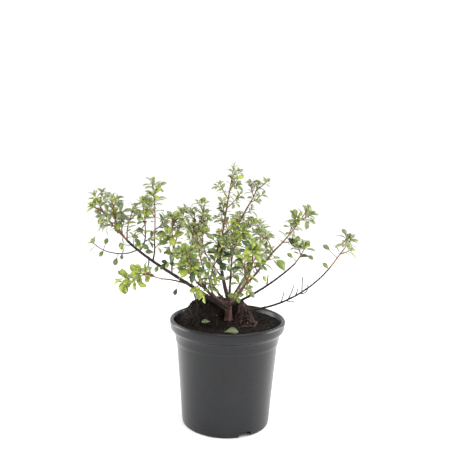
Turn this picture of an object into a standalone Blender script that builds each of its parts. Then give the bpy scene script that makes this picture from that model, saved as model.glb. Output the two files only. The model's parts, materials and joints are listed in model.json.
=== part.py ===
"""Escallonia in its nursery pot: a young, open, evergreen shrub.

The plant stands in a round pot filled with peat. A short main stem forks close
above the soil into boughs that lean out and rise. Each bough carries masses of
foliage: a stem that branches by a seeded rule into twigs, with small leaves
fused on. Metres, +Z up. The origin is the centre of the pot's flat underside,
the view from -Y is the front, and +X is to the right in that view.
"""

import math
from collections import namedtuple
from random import Random

import bmesh
import bpy
from mathutils import Quaternion, Vector, noise
from mathutils.bvhtree import BVHTree

# Gap kept between pieces that touch
GAP = 0.0003

# Pot
POT_HEIGHT = 0.157
POT_SEGMENTS = 36
LIP_RADIUS = 0.085
LIP_DEPTH = 0.015
LIP_LEAN = 0.001
LIP_CURL = 0.003
LIP_ROUNDING = 0.002
LIP_INNER_RADIUS = 0.0798
BAND_TOP_RADIUS = 0.0778
BAND_FOOT_RADIUS = 0.0762
BAND_FOOT_HEIGHT = 0.1255
BAND_STEP = 0.004
BODY_TOP_RADIUS = 0.0745
BODY_FOOT_RADIUS = 0.0645
UNDERSIDE_RADIUS = 0.0625
FOOT_ROUNDING = 0.003
WALL = 0.0015
FLOOR = 0.0025
SHARP_EDGE = 35

# Drain notches round the foot of the pot, wide and narrow by turns. Headings are in degrees.
NOTCHES = 3
NOTCH_TAPER = 0.70
WIDE_NOTCH_HEADING = -63.5
WIDE_NOTCH_WIDTH = 0.024
WIDE_NOTCH_HEIGHT = 0.0075
WIDE_NOTCH_DEPTH = 0.016
NARROW_NOTCH_HEADING = -130
NARROW_NOTCH_WIDTH = 0.006
NARROW_NOTCH_HEIGHT = 0.003
NARROW_NOTCH_DEPTH = 0.004

# Soil, and the older root ball that stands up out of it
SOIL_LEVEL = 0.150
SOIL_RINGS = 7
SOIL_SECTORS = 30
SOIL_RING_SPREAD = 1.25
BALL_CENTRE = Vector((-0.015, 0.014))
BALL_HALF_WIDTH = 0.051
BALL_HALF_DEPTH = 0.043
BALL_RISE = 0.027
BALL_FOOT = 1.16
BALL_SHOULDER = 0.42
HOLLOW_CENTRE = Vector((0.004, -0.030))
HOLLOW_RADIUS = 0.017
HOLLOW_FOOT = 1.6
CLOD = 0.0022
CLODS_PER_METRE = 90

# Main stem
STEM_FOOT = Vector((0.0007, -0.012, 0.157))
STEM_TOP = Vector((0.0012, -0.012, 0.186))
STEM_RADIUS = 0.0046
STEM_FLARE = 0.0036
STEM_FLARE_LENGTH = 0.0056
STEM_SIDES = 12
STEM_RINGS = 6
STEM_LOBES = 5
STEM_LOBE_DEPTH = 0.35
STEM_PAD = 0.0105

# Limbs and twigs
LIMB_SIDES = 6
LIMB_STEP = 0.016
TRIMS = 200
TRIM_SPACING = 0.3
SHOOT_SIDES = 3
SHOOT_STEP = 0.018
SHOOT_TIP = 0.0006
TWIG_SIDES = 3
TWIG_RADIUS = 0.0009
TWIG_TIP = 0.0006
TWIG_STEP = 0.017
TWIG_SPREAD = (37, 53)
TWIG_RISE = 0.35
TWIG_BARE = 0.3
TWIG_SIZES = (0.85, 1.1)
LAST_TWIG = 0.88
TWIG_SHORTENING = 0.45

# Leaves
LEAF_LENGTH = 0.0185
LEAF_WIDTH = 0.50
LEAF_WIDEST = 0.56
LEAF_BLUNTNESS = 0.36
LEAF_RIDGE = 0.36
LEAF_THICKNESS = 0.034
LEAF_DROOP = 0.05
LEAF_SUNK = 0.0003
LEAF_GAP = 0.0115
LEAF_CLEARANCE = 0.0003
LEAF_SIZES = (0.78, 1.12)
LEAF_OPENING = 66
LEAF_CLOSING = 18
LEAF_TURN = 6
FIRST_LEAF = 0.3
LAST_LEAF = 0.90
ROSETTE = 3
ROSETTE_END = 0.985
ROSETTE_SPACING = 0.03
ROSETTE_OPENING = 56
ROSETTE_CLOSING = 11
ROSETTE_SIZE = 0.92
GOLDEN_ANGLE = math.radians(137.5)
GOLDEN_ANGLE_PLAY = 0.2

# A bough leaves its parent limb at a fraction of the way along it. Its heading is
# anticlockwise from +X seen from above, its pitch is above the horizontal, and
# swing and lift are how far they turn by its tip, all in degrees. Foot and tip
# are radii.
Bough = namedtuple("Bough", "name parent at heading pitch length swing lift foot tip")
BOUGHS = [
    Bough("far_left", "stem", 0.45, 148, 26, 0.190, 83, 14, 0.0030, 0.0016),
    Bough("left", "stem", 0.62, 161, 22, 0.113, -53, 40, 0.0025, 0.0014),
    Bough("leader", "stem", 0.97, 150, 68, 0.074, 5, 17, 0.0030, 0.0018),
    Bough("right", "stem", 0.90, 27, 39, 0.099, -10, 14, 0.0025, 0.0013),
    Bough("right_low", "stem", 0.70, -14, 28, 0.122, -19, 17, 0.0020, 0.0010),
    Bough("right_lowest", "soil_right", 0, 12, 3, 0.142, -2, 47, 0.0017, 0.0010),
    Bough("right_upper", "leader", 0.92, 48, 46, 0.085, -7, 9, 0.0016, 0.0012),
    Bough("far_left_upright", "far_left", 0.715, -62, 43, 0.036, -22, 76, 0.0012, 0.0009),
    Bough("far_left_second", "far_left", 0.86, -63, 22, 0.059, -18, 23, 0.0011, 0.0008),
    Bough("far_left_low", "far_left", 0.76, -77, -12, 0.057, -22, 9, 0.0010, 0.0007),
    Bough("far_left_wisp", "far_left", 0.875, 150, -30, 0.047, 55, 50, 0.0009, 0.0007),
    Bough("left_low", "far_left", 0.36, -116, 22, 0.088, 4, -10, 0.0012, 0.0008),
    Bough("left_inner", "far_left", 0.535, -83, 40, 0.073, 1, -4, 0.0013, 0.0010),
    Bough("inner_left", "leader", 0.45, 127, 28, 0.055, -1, 9, 0.0013, 0.0009),
    Bough("inner_front", "stem", 0.75, -158, 27, 0.094, 103, 39, 0.0016, 0.0010),
    Bough("left_sucker", "soil_left", 0, -138, 62, 0.051, 35, 4, 0.0010, 0.0008),
    Bough("back", "stem", 0.95, 88, 23, 0.092, 0, 8, 0.0022, 0.0012),
    Bough("back_left", "stem", 0.70, 116, 14, 0.112, -4, 12, 0.0022, 0.0012),
    Bough("back_right", "stem", 0.85, 71, 18, 0.109, -4, 8, 0.0021, 0.0012),
    Bough("front_left", "stem", 0.55, -124, 35, 0.101, 7, -4, 0.0019, 0.0011),
    Bough("front_right", "stem", 0.70, -66, 33, 0.095, -14, 3, 0.0018, 0.0011),
]

# Places on the soil where a limb comes up by itself
SOIL_FEET = {
    "soil_right": Vector((0.030, 0.004, 0.168)),
    "soil_left": Vector((-0.041, -0.012, 0.172)),
}

# The main shoot of a mass of foliage starts at the tip of its bough. It bears
# side twigs no longer than reach, from a fraction bare along it.
Foliage = namedtuple("Foliage", "name bough heading pitch length swing lift foot twigs reach bare")
FOLIAGE = [
    Foliage("leader", "leader", 15, 82, 0.125, -3, -1, 0.0016, 7, 0.034, 0.12),
    Foliage("leader_side", "leader", -11, 17, 0.071, -41, 58, 0.0010, 3, 0.022, 0.35),
    Foliage("right_upper", "right_upper", 29, 53, 0.040, 1, 16, 0.0011, 3, 0.026, 0.10),
    Foliage("right", "right", 14, 43, 0.081, 0, 16, 0.0012, 4, 0.022, 0.15),
    Foliage("right_pale", "right", 120, 52, 0.038, 17, -10, 0.0008, 1, 0.016, 0.40),
    Foliage("right_low", "right_low", -40, 52, 0.028, -7, 9, 0.0009, 1, 0.014, 0.35),
    Foliage("right_lowest", "right_lowest", 15, 53, 0.054, -1, -1, 0.0009, 2, 0.020, 0.35),
    Foliage("far_left_crown", "far_left", -157, 50, 0.063, 70, 25, 0.0011, 4, 0.026, 0.10),
    Foliage("far_left_tip", "far_left", 172, 41, 0.079, -2, 23, 0.0010, 4, 0.026, 0.25),
    Foliage("far_left_inner", "far_left", 10, 95, 0.049, 5, -36, 0.0009, 1, 0.016, 0.30),
    Foliage("far_left_upright", "far_left_upright", 109, 102, 0.085, 7, -45, 0.0008, 4, 0.024, 0.05),
    Foliage("far_left_second", "far_left_second", -101, 84, 0.043, -11, -15, 0.0007, 2, 0.020, 0.10),
    Foliage("far_left_low", "far_left_low", -150, -19, 0.034, 8, -6, 0.0006, 2, 0.018, 0.15),
    Foliage("far_left_wisp", "far_left_wisp", 175, 18, 0.023, 1, 23, 0.0006, 0, 0.0, 0.30),
    Foliage("left_low", "left_low", -145, 16, 0.033, 4, 18, 0.0007, 2, 0.016, 0.15),
    Foliage("left_inner", "left_inner", -103, 70, 0.051, 23, -4, 0.0008, 2, 0.018, 0.15),
    Foliage("left_inner_high", "left_inner", 44, 71, 0.059, -2, 0, 0.0008, 2, 0.018, 0.25),
    Foliage("left_crown", "left", 71, 73, 0.060, -4, 14, 0.0011, 4, 0.026, 0.10),
    Foliage("left_back", "left", 53, 55, 0.080, 12, 18, 0.0009, 4, 0.024, 0.25),
    Foliage("left_sucker", "left_sucker", -108, 69, 0.034, -8, -7, 0.0007, 1, 0.014, 0.15),
    Foliage("inner_left", "inner_left", 132, 50, 0.039, -3, 58, 0.0008, 3, 0.022, 0.10),
    Foliage("inner_front", "inner_front", -45, 54, 0.047, -41, 12, 0.0009, 3, 0.022, 0.10),
    Foliage("front_sprig", "front_right", 108, 66, 0.036, 30, -10, 0.0008, 3, 0.017, 0.10),
    Foliage("front_left", "front_left", -135, 48, 0.055, 44, 16, 0.0010, 4, 0.024, 0.10),
    Foliage("front_right", "front_right", -51, 59, 0.060, -58, 3, 0.0010, 4, 0.024, 0.10),
    Foliage("back", "back", 98, 55, 0.070, 19, 7, 0.0011, 4, 0.026, 0.10),
    Foliage("back_high", "back", -22, 81, 0.079, -8, -1, 0.0009, 4, 0.024, 0.20),
    Foliage("back_left", "back_left", 120, 51, 0.073, -20, 11, 0.0011, 5, 0.026, 0.10),
    Foliage("back_right", "back_right", 49, 49, 0.072, 43, 15, 0.0011, 5, 0.026, 0.10),
]


def main():
    clear_scene()
    pot = make_pot()
    soil = make_soil()
    cutters = make_notch_cutters()
    cut_notches(pot, cutters)
    cut_notches(soil, cutters)
    make_plant(soil)


def clear_scene():
    for old in list(bpy.data.objects):
        bpy.data.objects.remove(old)


def material(name, colour, roughness):
    made = bpy.data.materials.get(name) or bpy.data.materials.new(name)
    made.use_nodes = True
    shader = made.node_tree.nodes["Principled BSDF"]
    shader.inputs["Base Color"].default_value = (*colour, 1)
    shader.inputs["Roughness"].default_value = roughness
    shader.inputs["Metallic"].default_value = 0
    return made


def new_collection(name):
    made = bpy.data.collections.new(name)
    bpy.context.scene.collection.children.link(made)
    return made


def object_from(name, shape, finish=None, collection=None):
    """One object from a bmesh, which is used up."""
    mesh = bpy.data.meshes.new(name)
    shape.to_mesh(mesh)
    shape.free()
    made = bpy.data.objects.new(name, mesh)
    (collection or bpy.context.scene.collection).objects.link(made)
    if finish:
        mesh.materials.append(finish)
    return made


def turned(profile, segments):
    """A bmesh turned round Z from a profile of (radius, height) that starts and ends on the axis."""
    shape = bmesh.new()
    points = [shape.verts.new((radius, 0, height)) for radius, height in profile]
    edges = [shape.edges.new(pair) for pair in zip(points, points[1:])]
    bmesh.ops.spin(
        shape,
        geom=points + edges,
        cent=(0, 0, 0),
        axis=(0, 0, 1),
        angle=math.tau,
        steps=segments,
        use_duplicate=False,
    )
    bmesh.ops.remove_doubles(shape, verts=shape.verts, dist=1e-6)
    bmesh.ops.recalc_face_normals(shape, faces=shape.faces)
    return shape


# Pot


def pot_profile():
    """Up the outside from the centre of the underside, over the lip and down the inside."""
    lip_foot = POT_HEIGHT - LIP_DEPTH
    return [
        (0, 0),
        (UNDERSIDE_RADIUS, 0),
        (BODY_FOOT_RADIUS, FOOT_ROUNDING),
        (BODY_TOP_RADIUS, BAND_FOOT_HEIGHT - BAND_STEP),
        (BAND_FOOT_RADIUS, BAND_FOOT_HEIGHT),
        (BAND_TOP_RADIUS, lip_foot - LIP_CURL),
        (LIP_RADIUS - LIP_CURL, lip_foot),
        (LIP_RADIUS - LIP_LEAN, lip_foot + LIP_CURL),
        (LIP_RADIUS, POT_HEIGHT - LIP_CURL),
        (LIP_RADIUS - LIP_ROUNDING, POT_HEIGHT),
        (LIP_INNER_RADIUS, POT_HEIGHT),
        (LIP_INNER_RADIUS - LIP_LEAN, POT_HEIGHT - LIP_ROUNDING),
        (inner_radius(BAND_FOOT_HEIGHT), BAND_FOOT_HEIGHT),
        (inner_radius(FLOOR), FLOOR),
        (0, FLOOR),
    ]


def inner_radius(height):
    """The radius of the pot's inner wall, a cone up to its band and a wider one up to its lip."""
    foot = BODY_FOOT_RADIUS - WALL
    bend = BODY_TOP_RADIUS - WALL
    top = LIP_INNER_RADIUS - LIP_LEAN
    if height < BAND_FOOT_HEIGHT:
        return foot + (bend - foot) * (height - FLOOR) / (BAND_FOOT_HEIGHT - FLOOR)
    band_height = POT_HEIGHT - LIP_ROUNDING - BAND_FOOT_HEIGHT
    return bend + (top - bend) * (height - BAND_FOOT_HEIGHT) / band_height


def make_notch_cutter(name, heading, width, height, depth, collection):
    """A block across the corner of wall and floor, narrower at its top."""
    shape = bmesh.new()
    bmesh.ops.create_cube(shape, size=1)
    for corner in shape.verts:
        high = corner.co.z > 0
        corner.co.x *= 2 * depth
        corner.co.y *= width * (NOTCH_TAPER if high else 1)
        corner.co.z = height if high else -height
    cutter = object_from(name, shape, collection=collection)
    turn = math.radians(heading)
    cutter.location = Vector((math.cos(turn), math.sin(turn), 0)) * BODY_FOOT_RADIUS
    cutter.rotation_euler.z = turn
    cutter.hide_render = True
    cutter.display_type = "WIRE"


def make_notch_cutters():
    cutters = new_collection("notch_cutters")
    for number in range(NOTCHES):
        turn = 360 / NOTCHES * number
        make_notch_cutter(
            f"wide_notch_{number + 1}",
            WIDE_NOTCH_HEADING + turn,
            WIDE_NOTCH_WIDTH,
            WIDE_NOTCH_HEIGHT,
            WIDE_NOTCH_DEPTH,
            cutters,
        )
        make_notch_cutter(
            f"narrow_notch_{number + 1}",
            NARROW_NOTCH_HEADING + turn,
            NARROW_NOTCH_WIDTH,
            NARROW_NOTCH_HEIGHT,
            NARROW_NOTCH_DEPTH,
            cutters,
        )
    return cutters


def cut_notches(whole, cutters):
    cut = whole.modifiers.new("notches", "BOOLEAN")
    cut.operation = "DIFFERENCE"
    cut.operand_type = "COLLECTION"
    cut.collection = cutters
    cut.solver = "EXACT"


def make_pot():
    finish = material("pot_plastic", (0.052, 0.052, 0.055), 0.45)
    pot = object_from("pot", turned(pot_profile(), POT_SEGMENTS), finish)
    pot.data.shade_smooth()
    pot.data.set_sharp_from_angle(angle=math.radians(SHARP_EDGE))
    return pot


# Soil


def smooth_step(value):
    value = min(1, max(0, value))
    return value * value * (3 - 2 * value)


def soil_height(x, y):
    """Level peat with the root ball's mound, a hollow before the stem, and clods."""
    from_ball = Vector(
        ((x - BALL_CENTRE.x) / BALL_HALF_WIDTH, (y - BALL_CENTRE.y) / BALL_HALF_DEPTH)
    ).length
    mound = BALL_RISE * smooth_step((BALL_FOOT - from_ball) / BALL_SHOULDER)
    from_hollow = (Vector((x, y)) - HOLLOW_CENTRE).length / HOLLOW_RADIUS
    mound *= 1 - smooth_step(HOLLOW_FOOT - from_hollow)
    clods = CLOD * noise.noise(Vector((x, y, 0)) * CLODS_PER_METRE)
    return SOIL_LEVEL + mound + clods


def make_soil():
    """Fills the pot. Rings run from a flat pad under the stem out to the wall."""
    shape = bmesh.new()
    top = soil_wall_radius(SOIL_LEVEL)
    pad_height = STEM_FOOT.z - GAP
    rings = []
    for ring in range(SOIL_RINGS + 1):
        out = (ring / SOIL_RINGS) ** SOIL_RING_SPREAD
        row = []
        for sector in range(SOIL_SECTORS):
            angle = math.tau * sector / SOIL_SECTORS
            way = Vector((math.cos(angle), math.sin(angle)))
            place = (STEM_FOOT.xy + way * STEM_PAD).lerp(way * top, out)
            off_pad = smooth_step(((place - STEM_FOOT.xy).length - STEM_PAD) / STEM_PAD)
            height = pad_height + (soil_height(*place) - pad_height) * off_pad
            if ring == SOIL_RINGS:
                height = SOIL_LEVEL
            row.append(shape.verts.new((*place, height)))
        rings.append(row)
    for height in (BAND_FOOT_HEIGHT, FLOOR + GAP):
        row = []
        for corner in rings[SOIL_RINGS]:
            place = corner.co.xy.normalized() * soil_wall_radius(height)
            row.append(shape.verts.new((*place, height)))
        rings.append(row)
    for inner, outer in zip(rings, rings[1:]):
        for here in range(SOIL_SECTORS):
            after = (here + 1) % SOIL_SECTORS
            shape.faces.new((inner[here], outer[here], outer[after], inner[after]))
    shape.faces.new(rings[0])
    shape.faces.new(reversed(rings[-1]))
    bmesh.ops.recalc_face_normals(shape, faces=shape.faces)
    bmesh.ops.triangulate(shape, faces=shape.faces)
    return object_from("soil", shape, material("peat", (0.020, 0.013, 0.009), 0.95))


def soil_wall_radius(height):
    """Inside the pot's flat-sided wall, whose facets stand closer to the axis than its corners."""
    flat = math.cos(math.pi / POT_SEGMENTS)
    return inner_radius(height) * flat - GAP


# Limbs


def course(start, heading, pitch, length, swing, lift, step):
    """Points along a limb that turns evenly from its foot to its tip."""
    count = max(2, round(length / step))
    points = [Vector(start)]
    for number in range(count):
        part = (number + 0.5) / count
        around = math.radians(heading + swing * part)
        above = math.radians(pitch + lift * part)
        way = Vector(
            (math.cos(around) * math.cos(above), math.sin(around) * math.cos(above), math.sin(above))
        )
        points.append(points[-1] + way * (length / count))
    return points


def point_along(points, fraction):
    place = fraction * (len(points) - 1)
    before = min(int(place), len(points) - 2)
    return points[before].lerp(points[before + 1], place - before)


def direction_along(points, fraction):
    before = min(int(fraction * (len(points) - 1)), len(points) - 2)
    return (points[before + 1] - points[before]).normalized()


def add_tube(shape, points, radii, sides):
    """A closed tube through the points, turned smoothly so that it does not twist."""
    side = direction_along(points, 0).orthogonal().normalized()
    rings = []
    for number, (place, radius) in enumerate(zip(points, radii)):
        before = points[max(0, number - 1)]
        after = points[min(len(points) - 1, number + 1)]
        way = (after - before).normalized()
        side = (side - way * side.dot(way)).normalized()
        ring = []
        for corner in range(sides):
            turn = Quaternion(way, math.tau * corner / sides)
            ring.append(shape.verts.new(place + turn @ side * radius))
        rings.append(ring)
    for lower, upper in zip(rings, rings[1:]):
        for here in range(sides):
            after = (here + 1) % sides
            shape.faces.new((lower[here], lower[after], upper[after], upper[here]))
    shape.faces.new(reversed(rings[0]))
    shape.faces.new(rings[-1])


def tube(points, foot, tip, sides):
    shape = bmesh.new()
    last = len(points) - 1
    radii = [foot + (tip - foot) * number / last for number in range(last + 1)]
    add_tube(shape, points, radii, sides)
    bmesh.ops.triangulate(shape, faces=shape.faces)
    return shape


def clear_of(points, foot, tip, sides, others):
    """The same course, cut back at its foot until it is clear of the pieces that it grows from."""
    swell = GAP / math.cos(math.pi / sides)
    for number in range(TRIMS):
        trial = tube(cut_back(points, number / TRIMS), foot + swell, tip + swell, sides)
        tree = BVHTree.FromBMesh(trial)
        trial.free()
        if not any(tree.overlap(other) for other in others):
            return cut_back(points, (number + 1) / TRIMS)
    raise ValueError("a limb touches its neighbours all the way along")


def cut_back(points, start):
    """The course from a fraction of its length on, with no old point close behind the new foot."""
    last = len(points) - 1
    kept = [point for number, point in enumerate(points) if number > start * last + TRIM_SPACING]
    return [point_along(points, start), *kept]


def make_main_stem(finish):
    """Upright, with a root flare of rounded lobes at its foot and a flat cut under it."""
    shape = bmesh.new()
    length = STEM_TOP.z - STEM_FOOT.z
    rings = []
    for number in range(STEM_RINGS + 1):
        part = number / STEM_RINGS
        centre = STEM_FOOT.lerp(STEM_TOP, part)
        flare = STEM_FLARE * math.exp(-part * length / STEM_FLARE_LENGTH)
        row = []
        for side in range(STEM_SIDES):
            angle = math.tau * side / STEM_SIDES
            lobe = 1 - STEM_LOBE_DEPTH + STEM_LOBE_DEPTH * math.cos(STEM_LOBES * angle)
            radius = STEM_RADIUS + flare * lobe
            row.append(shape.verts.new(centre + radius * Vector((math.cos(angle), math.sin(angle), 0))))
        rings.append(row)
    for lower, upper in zip(rings, rings[1:]):
        for here in range(STEM_SIDES):
            after = (here + 1) % STEM_SIDES
            shape.faces.new((lower[here], lower[after], upper[after], upper[here]))
    shape.faces.new(reversed(rings[0]))
    shape.faces.new(rings[-1])
    bmesh.ops.triangulate(shape, faces=shape.faces)
    tree = BVHTree.FromBMesh(shape)
    object_from("main_stem", shape, finish)
    return tree


def make_boughs(soil, finish):
    """Every limb as its own object. It gives back their courses and the solids to keep clear of."""
    stem_tree = make_main_stem(finish)
    soil_tree = BVHTree.FromObject(soil, bpy.context.evaluated_depsgraph_get())
    courses = {"stem": [STEM_FOOT, STEM_FOOT.lerp(STEM_TOP, 0.5), STEM_TOP]}
    solids = [stem_tree, soil_tree]
    for bough in BOUGHS:
        start = SOIL_FEET.get(bough.parent) or point_along(courses[bough.parent], bough.at)
        points = course(
            start, bough.heading, bough.pitch, bough.length, bough.swing, bough.lift, LIMB_STEP
        )
        points = clear_of(points, bough.foot, bough.tip, LIMB_SIDES, solids)
        shape = tube(points, bough.foot, bough.tip, LIMB_SIDES)
        solids.append(BVHTree.FromBMesh(shape))
        courses[bough.name] = points
        object_from(f"bough_{bough.name}", shape, finish)
    return courses, solids


# Foliage


class Space:
    """The pieces placed so far. A new twig or leaf that would touch one of them is left out."""

    def __init__(self, solids):
        self.solids = solids
        self.pieces = []

    def everything(self):
        return self.solids + [tree for _, _, tree, _ in self.pieces]

    def add(self, shape, owner):
        self.pieces.append((*box_of(shape), BVHTree.FromBMesh(shape), owner))

    def takes(self, shape, own):
        """Whether a piece fits. It may touch its own twig, and the leaves on that."""
        tree = BVHTree.FromBMesh(shape)
        if any(tree.overlap(solid) for solid in self.solids):
            return False
        low, high = box_of(shape)
        for other_low, other_high, other, owner in self.pieces:
            apart = any(low[axis] > other_high[axis] or high[axis] < other_low[axis] for axis in range(3))
            if owner != own and not apart and tree.overlap(other):
                return False
        return True


def box_of(shape):
    """The lowest and the highest corner of a bmesh."""
    low = [min(corner.co[axis] for corner in shape.verts) for axis in range(3)]
    high = [max(corner.co[axis] for corner in shape.verts) for axis in range(3)]
    return low, high


def leaf_shape(root, way, facing, length, swell=0):
    """A blunt blade of eight faces that narrows to its root, with a low ridge on its upper side."""
    across = way.cross(facing).normalized()
    upper = across.cross(way).normalized()
    half = length * LEAF_WIDTH / 2 + swell
    blunt = half * LEAF_BLUNTNESS
    end = length + swell
    outline = [
        (0, 0, 0),
        (length * LEAF_WIDEST, half, 0),
        (end, blunt, -length * LEAF_DROOP),
        (end, -blunt, -length * LEAF_DROOP),
        (length * LEAF_WIDEST, -half, 0),
    ]
    ridge = length * LEAF_THICKNESS + swell
    shape = bmesh.new()
    rim = [
        shape.verts.new(root + way * out + across * aside + upper * (above - swell))
        for out, aside, above in outline
    ]
    top = shape.verts.new(root + way * length * LEAF_RIDGE + upper * ridge)
    for here, after in zip(rim, rim[1:] + rim[:1]):
        shape.faces.new((here, after, top))
    root_end, left, left_tip, right_tip, right = rim
    for corners in ((root_end, right, left), (left, right, right_tip), (left, right_tip, left_tip)):
        shape.faces.new(corners)
    bmesh.ops.recalc_face_normals(shape, faces=shape.faces)
    return shape


def side_twigs(foliage, points, chance):
    """The courses of the side twigs: they go round the main shoot by the golden angle and bend up."""
    around = chance.uniform(0, math.tau)
    courses = []
    for number in range(foliage.twigs):
        part = foliage.bare + (LAST_TWIG - foliage.bare) * (number + 0.5) / foliage.twigs
        around += GOLDEN_ANGLE
        way = direction_along(points, part)
        side = Quaternion(way, around) @ way.orthogonal().normalized()
        spread = math.radians(chance.uniform(*TWIG_SPREAD))
        out = way * math.cos(spread) + side * math.sin(spread)
        length = foliage.reach * (1 - TWIG_SHORTENING * part) * chance.uniform(*TWIG_SIZES)
        steps = max(2, round(length / TWIG_STEP))
        places = [point_along(points, part)]
        for _ in range(steps):
            places.append(places[-1] + out * (length / steps))
            out = (out + Vector((0, 0, TWIG_RISE / steps))).normalized()
        courses.append(places)
    return courses


def leaves_on(points, bare, chance):
    """Roots, directions and lengths of the leaves on one twig, spiralling to a rosette at its tip."""
    twig_length = sum((after - before).length for before, after in zip(points, points[1:]))
    along = max(1, round(twig_length * (1 - bare) / LEAF_GAP))
    around = chance.uniform(0, math.tau)
    found = []
    for number in range(along + ROSETTE):
        around += GOLDEN_ANGLE + chance.uniform(-GOLDEN_ANGLE_PLAY, GOLDEN_ANGLE_PLAY)
        if number < along:
            part = bare + (LAST_LEAF - bare) * (number + FIRST_LEAF) / along
            opening = LEAF_OPENING - LEAF_CLOSING * part
            length = LEAF_LENGTH
        else:
            part = ROSETTE_END - ROSETTE_SPACING * (along + ROSETTE - 1 - number)
            opening = ROSETTE_OPENING - ROSETTE_CLOSING * (number - along)
            length = LEAF_LENGTH * ROSETTE_SIZE
        way = direction_along(points, part)
        side = Quaternion(way, around) @ way.orthogonal().normalized()
        turn = math.radians(opening + chance.uniform(-LEAF_TURN, LEAF_TURN))
        out = (way * math.cos(turn) + side * math.sin(turn)).normalized()
        size = length * chance.uniform(*LEAF_SIZES)
        found.append((point_along(points, part) - out * LEAF_SUNK, out, way, size))
    return found


def make_shoot(foliage, limb_end, space, finish):
    """The main shoot of one mass, a gap clear of the limb that it grows on from. It gives its course."""
    points = course(
        limb_end,
        foliage.heading,
        foliage.pitch,
        foliage.length,
        foliage.swing,
        foliage.lift,
        SHOOT_STEP,
    )
    points = clear_of(points, foliage.foot, SHOOT_TIP, SHOOT_SIDES, space.everything())
    shape = tube(points, foliage.foot, SHOOT_TIP, SHOOT_SIDES)
    space.add(shape, (foliage.name, 0))
    object_from(f"foliage_{foliage.name}", shape, finish)
    return points


def add_side_twigs(foliage, twigs, space, finish, collection):
    """The side twigs of one mass that fit, put on its list of twigs after the main shoot."""
    shoot, _ = twigs[0]
    for points in side_twigs(foliage, shoot, Random(foliage.name)):
        swollen = tube(points, TWIG_RADIUS + GAP, TWIG_TIP + GAP, TWIG_SIDES)
        fits = space.takes(swollen, (foliage.name, 0))
        swollen.free()
        if fits:
            shape = tube(points, TWIG_RADIUS, TWIG_TIP, TWIG_SIDES)
            space.add(shape, (foliage.name, len(twigs)))
            twigs.append((points, TWIG_BARE))
            object_from("twig", shape, finish, collection)


def add_leaves(foliage, twigs, space, finish, collection):
    chance = Random(foliage.name + " leaves")
    for number, (points, bare) in enumerate(twigs):
        for root, out, facing, size in leaves_on(points, bare, chance):
            swollen = leaf_shape(root, out, facing, size, LEAF_CLEARANCE)
            fits = space.takes(swollen, (foliage.name, number))
            swollen.free()
            if fits:
                shape = leaf_shape(root, out, facing, size)
                space.add(shape, (foliage.name, number))
                object_from("leaf", shape, finish, collection)


def make_foliage(courses, solids, twig_finish, leaf_finish):
    """Main shoots first, then every side twig, then leaves, so that leaves give way to wood."""
    space = Space(solids)
    twigs = {}
    gathered = {foliage.name: new_collection(foliage.name) for foliage in FOLIAGE}
    for foliage in FOLIAGE:
        shoot = make_shoot(foliage, courses[foliage.bough][-1], space, twig_finish)
        twigs[foliage.name] = [(shoot, foliage.bare)]
    for foliage in FOLIAGE:
        add_side_twigs(foliage, twigs[foliage.name], space, twig_finish, gathered[foliage.name])
    for foliage in FOLIAGE:
        add_leaves(foliage, twigs[foliage.name], space, leaf_finish, gathered[foliage.name])
    for foliage in FOLIAGE:
        fuse(bpy.data.objects[f"foliage_{foliage.name}"], gathered[foliage.name])


def fuse(shoot, parts):
    """Joins the twigs and leaves of one mass to its main shoot by one Boolean union."""
    union = shoot.modifiers.new("union", "BOOLEAN")
    union.operation = "UNION"
    union.operand_type = "COLLECTION"
    union.collection = parts
    union.solver = "EXACT"
    union.material_mode = "TRANSFER"
    graph = bpy.context.evaluated_depsgraph_get()
    joined = bpy.data.meshes.new_from_object(shoot.evaluated_get(graph))
    shoot.modifiers.clear()
    shoot.data = joined
    for part in list(parts.objects):
        bpy.data.objects.remove(part)
    bpy.data.collections.remove(parts)


def make_plant(soil):
    bark = material("bark", (0.055, 0.030, 0.022), 0.80)
    twig = material("young_wood", (0.16, 0.060, 0.030), 0.65)
    leaf = material("leaf", (0.075, 0.165, 0.030), 0.40)
    courses, solids = make_boughs(soil, bark)
    make_foliage(courses, solids, twig, leaf)


main()
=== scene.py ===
"""Escallonia in its nursery pot: the finished look, built round the fixed solids.

The boughs, twigs and leaves grow by the same rule as the solids and are carried
on to finer twigs and more leaves. Metres, +Z up, and -Y is the front.
"""

import json
import math
from collections import namedtuple
from random import Random

import bmesh
import bpy
from bpy.props import FloatProperty, FloatVectorProperty, IntProperty, PointerProperty
from mathutils import Matrix, Quaternion, Vector, noise

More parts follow.
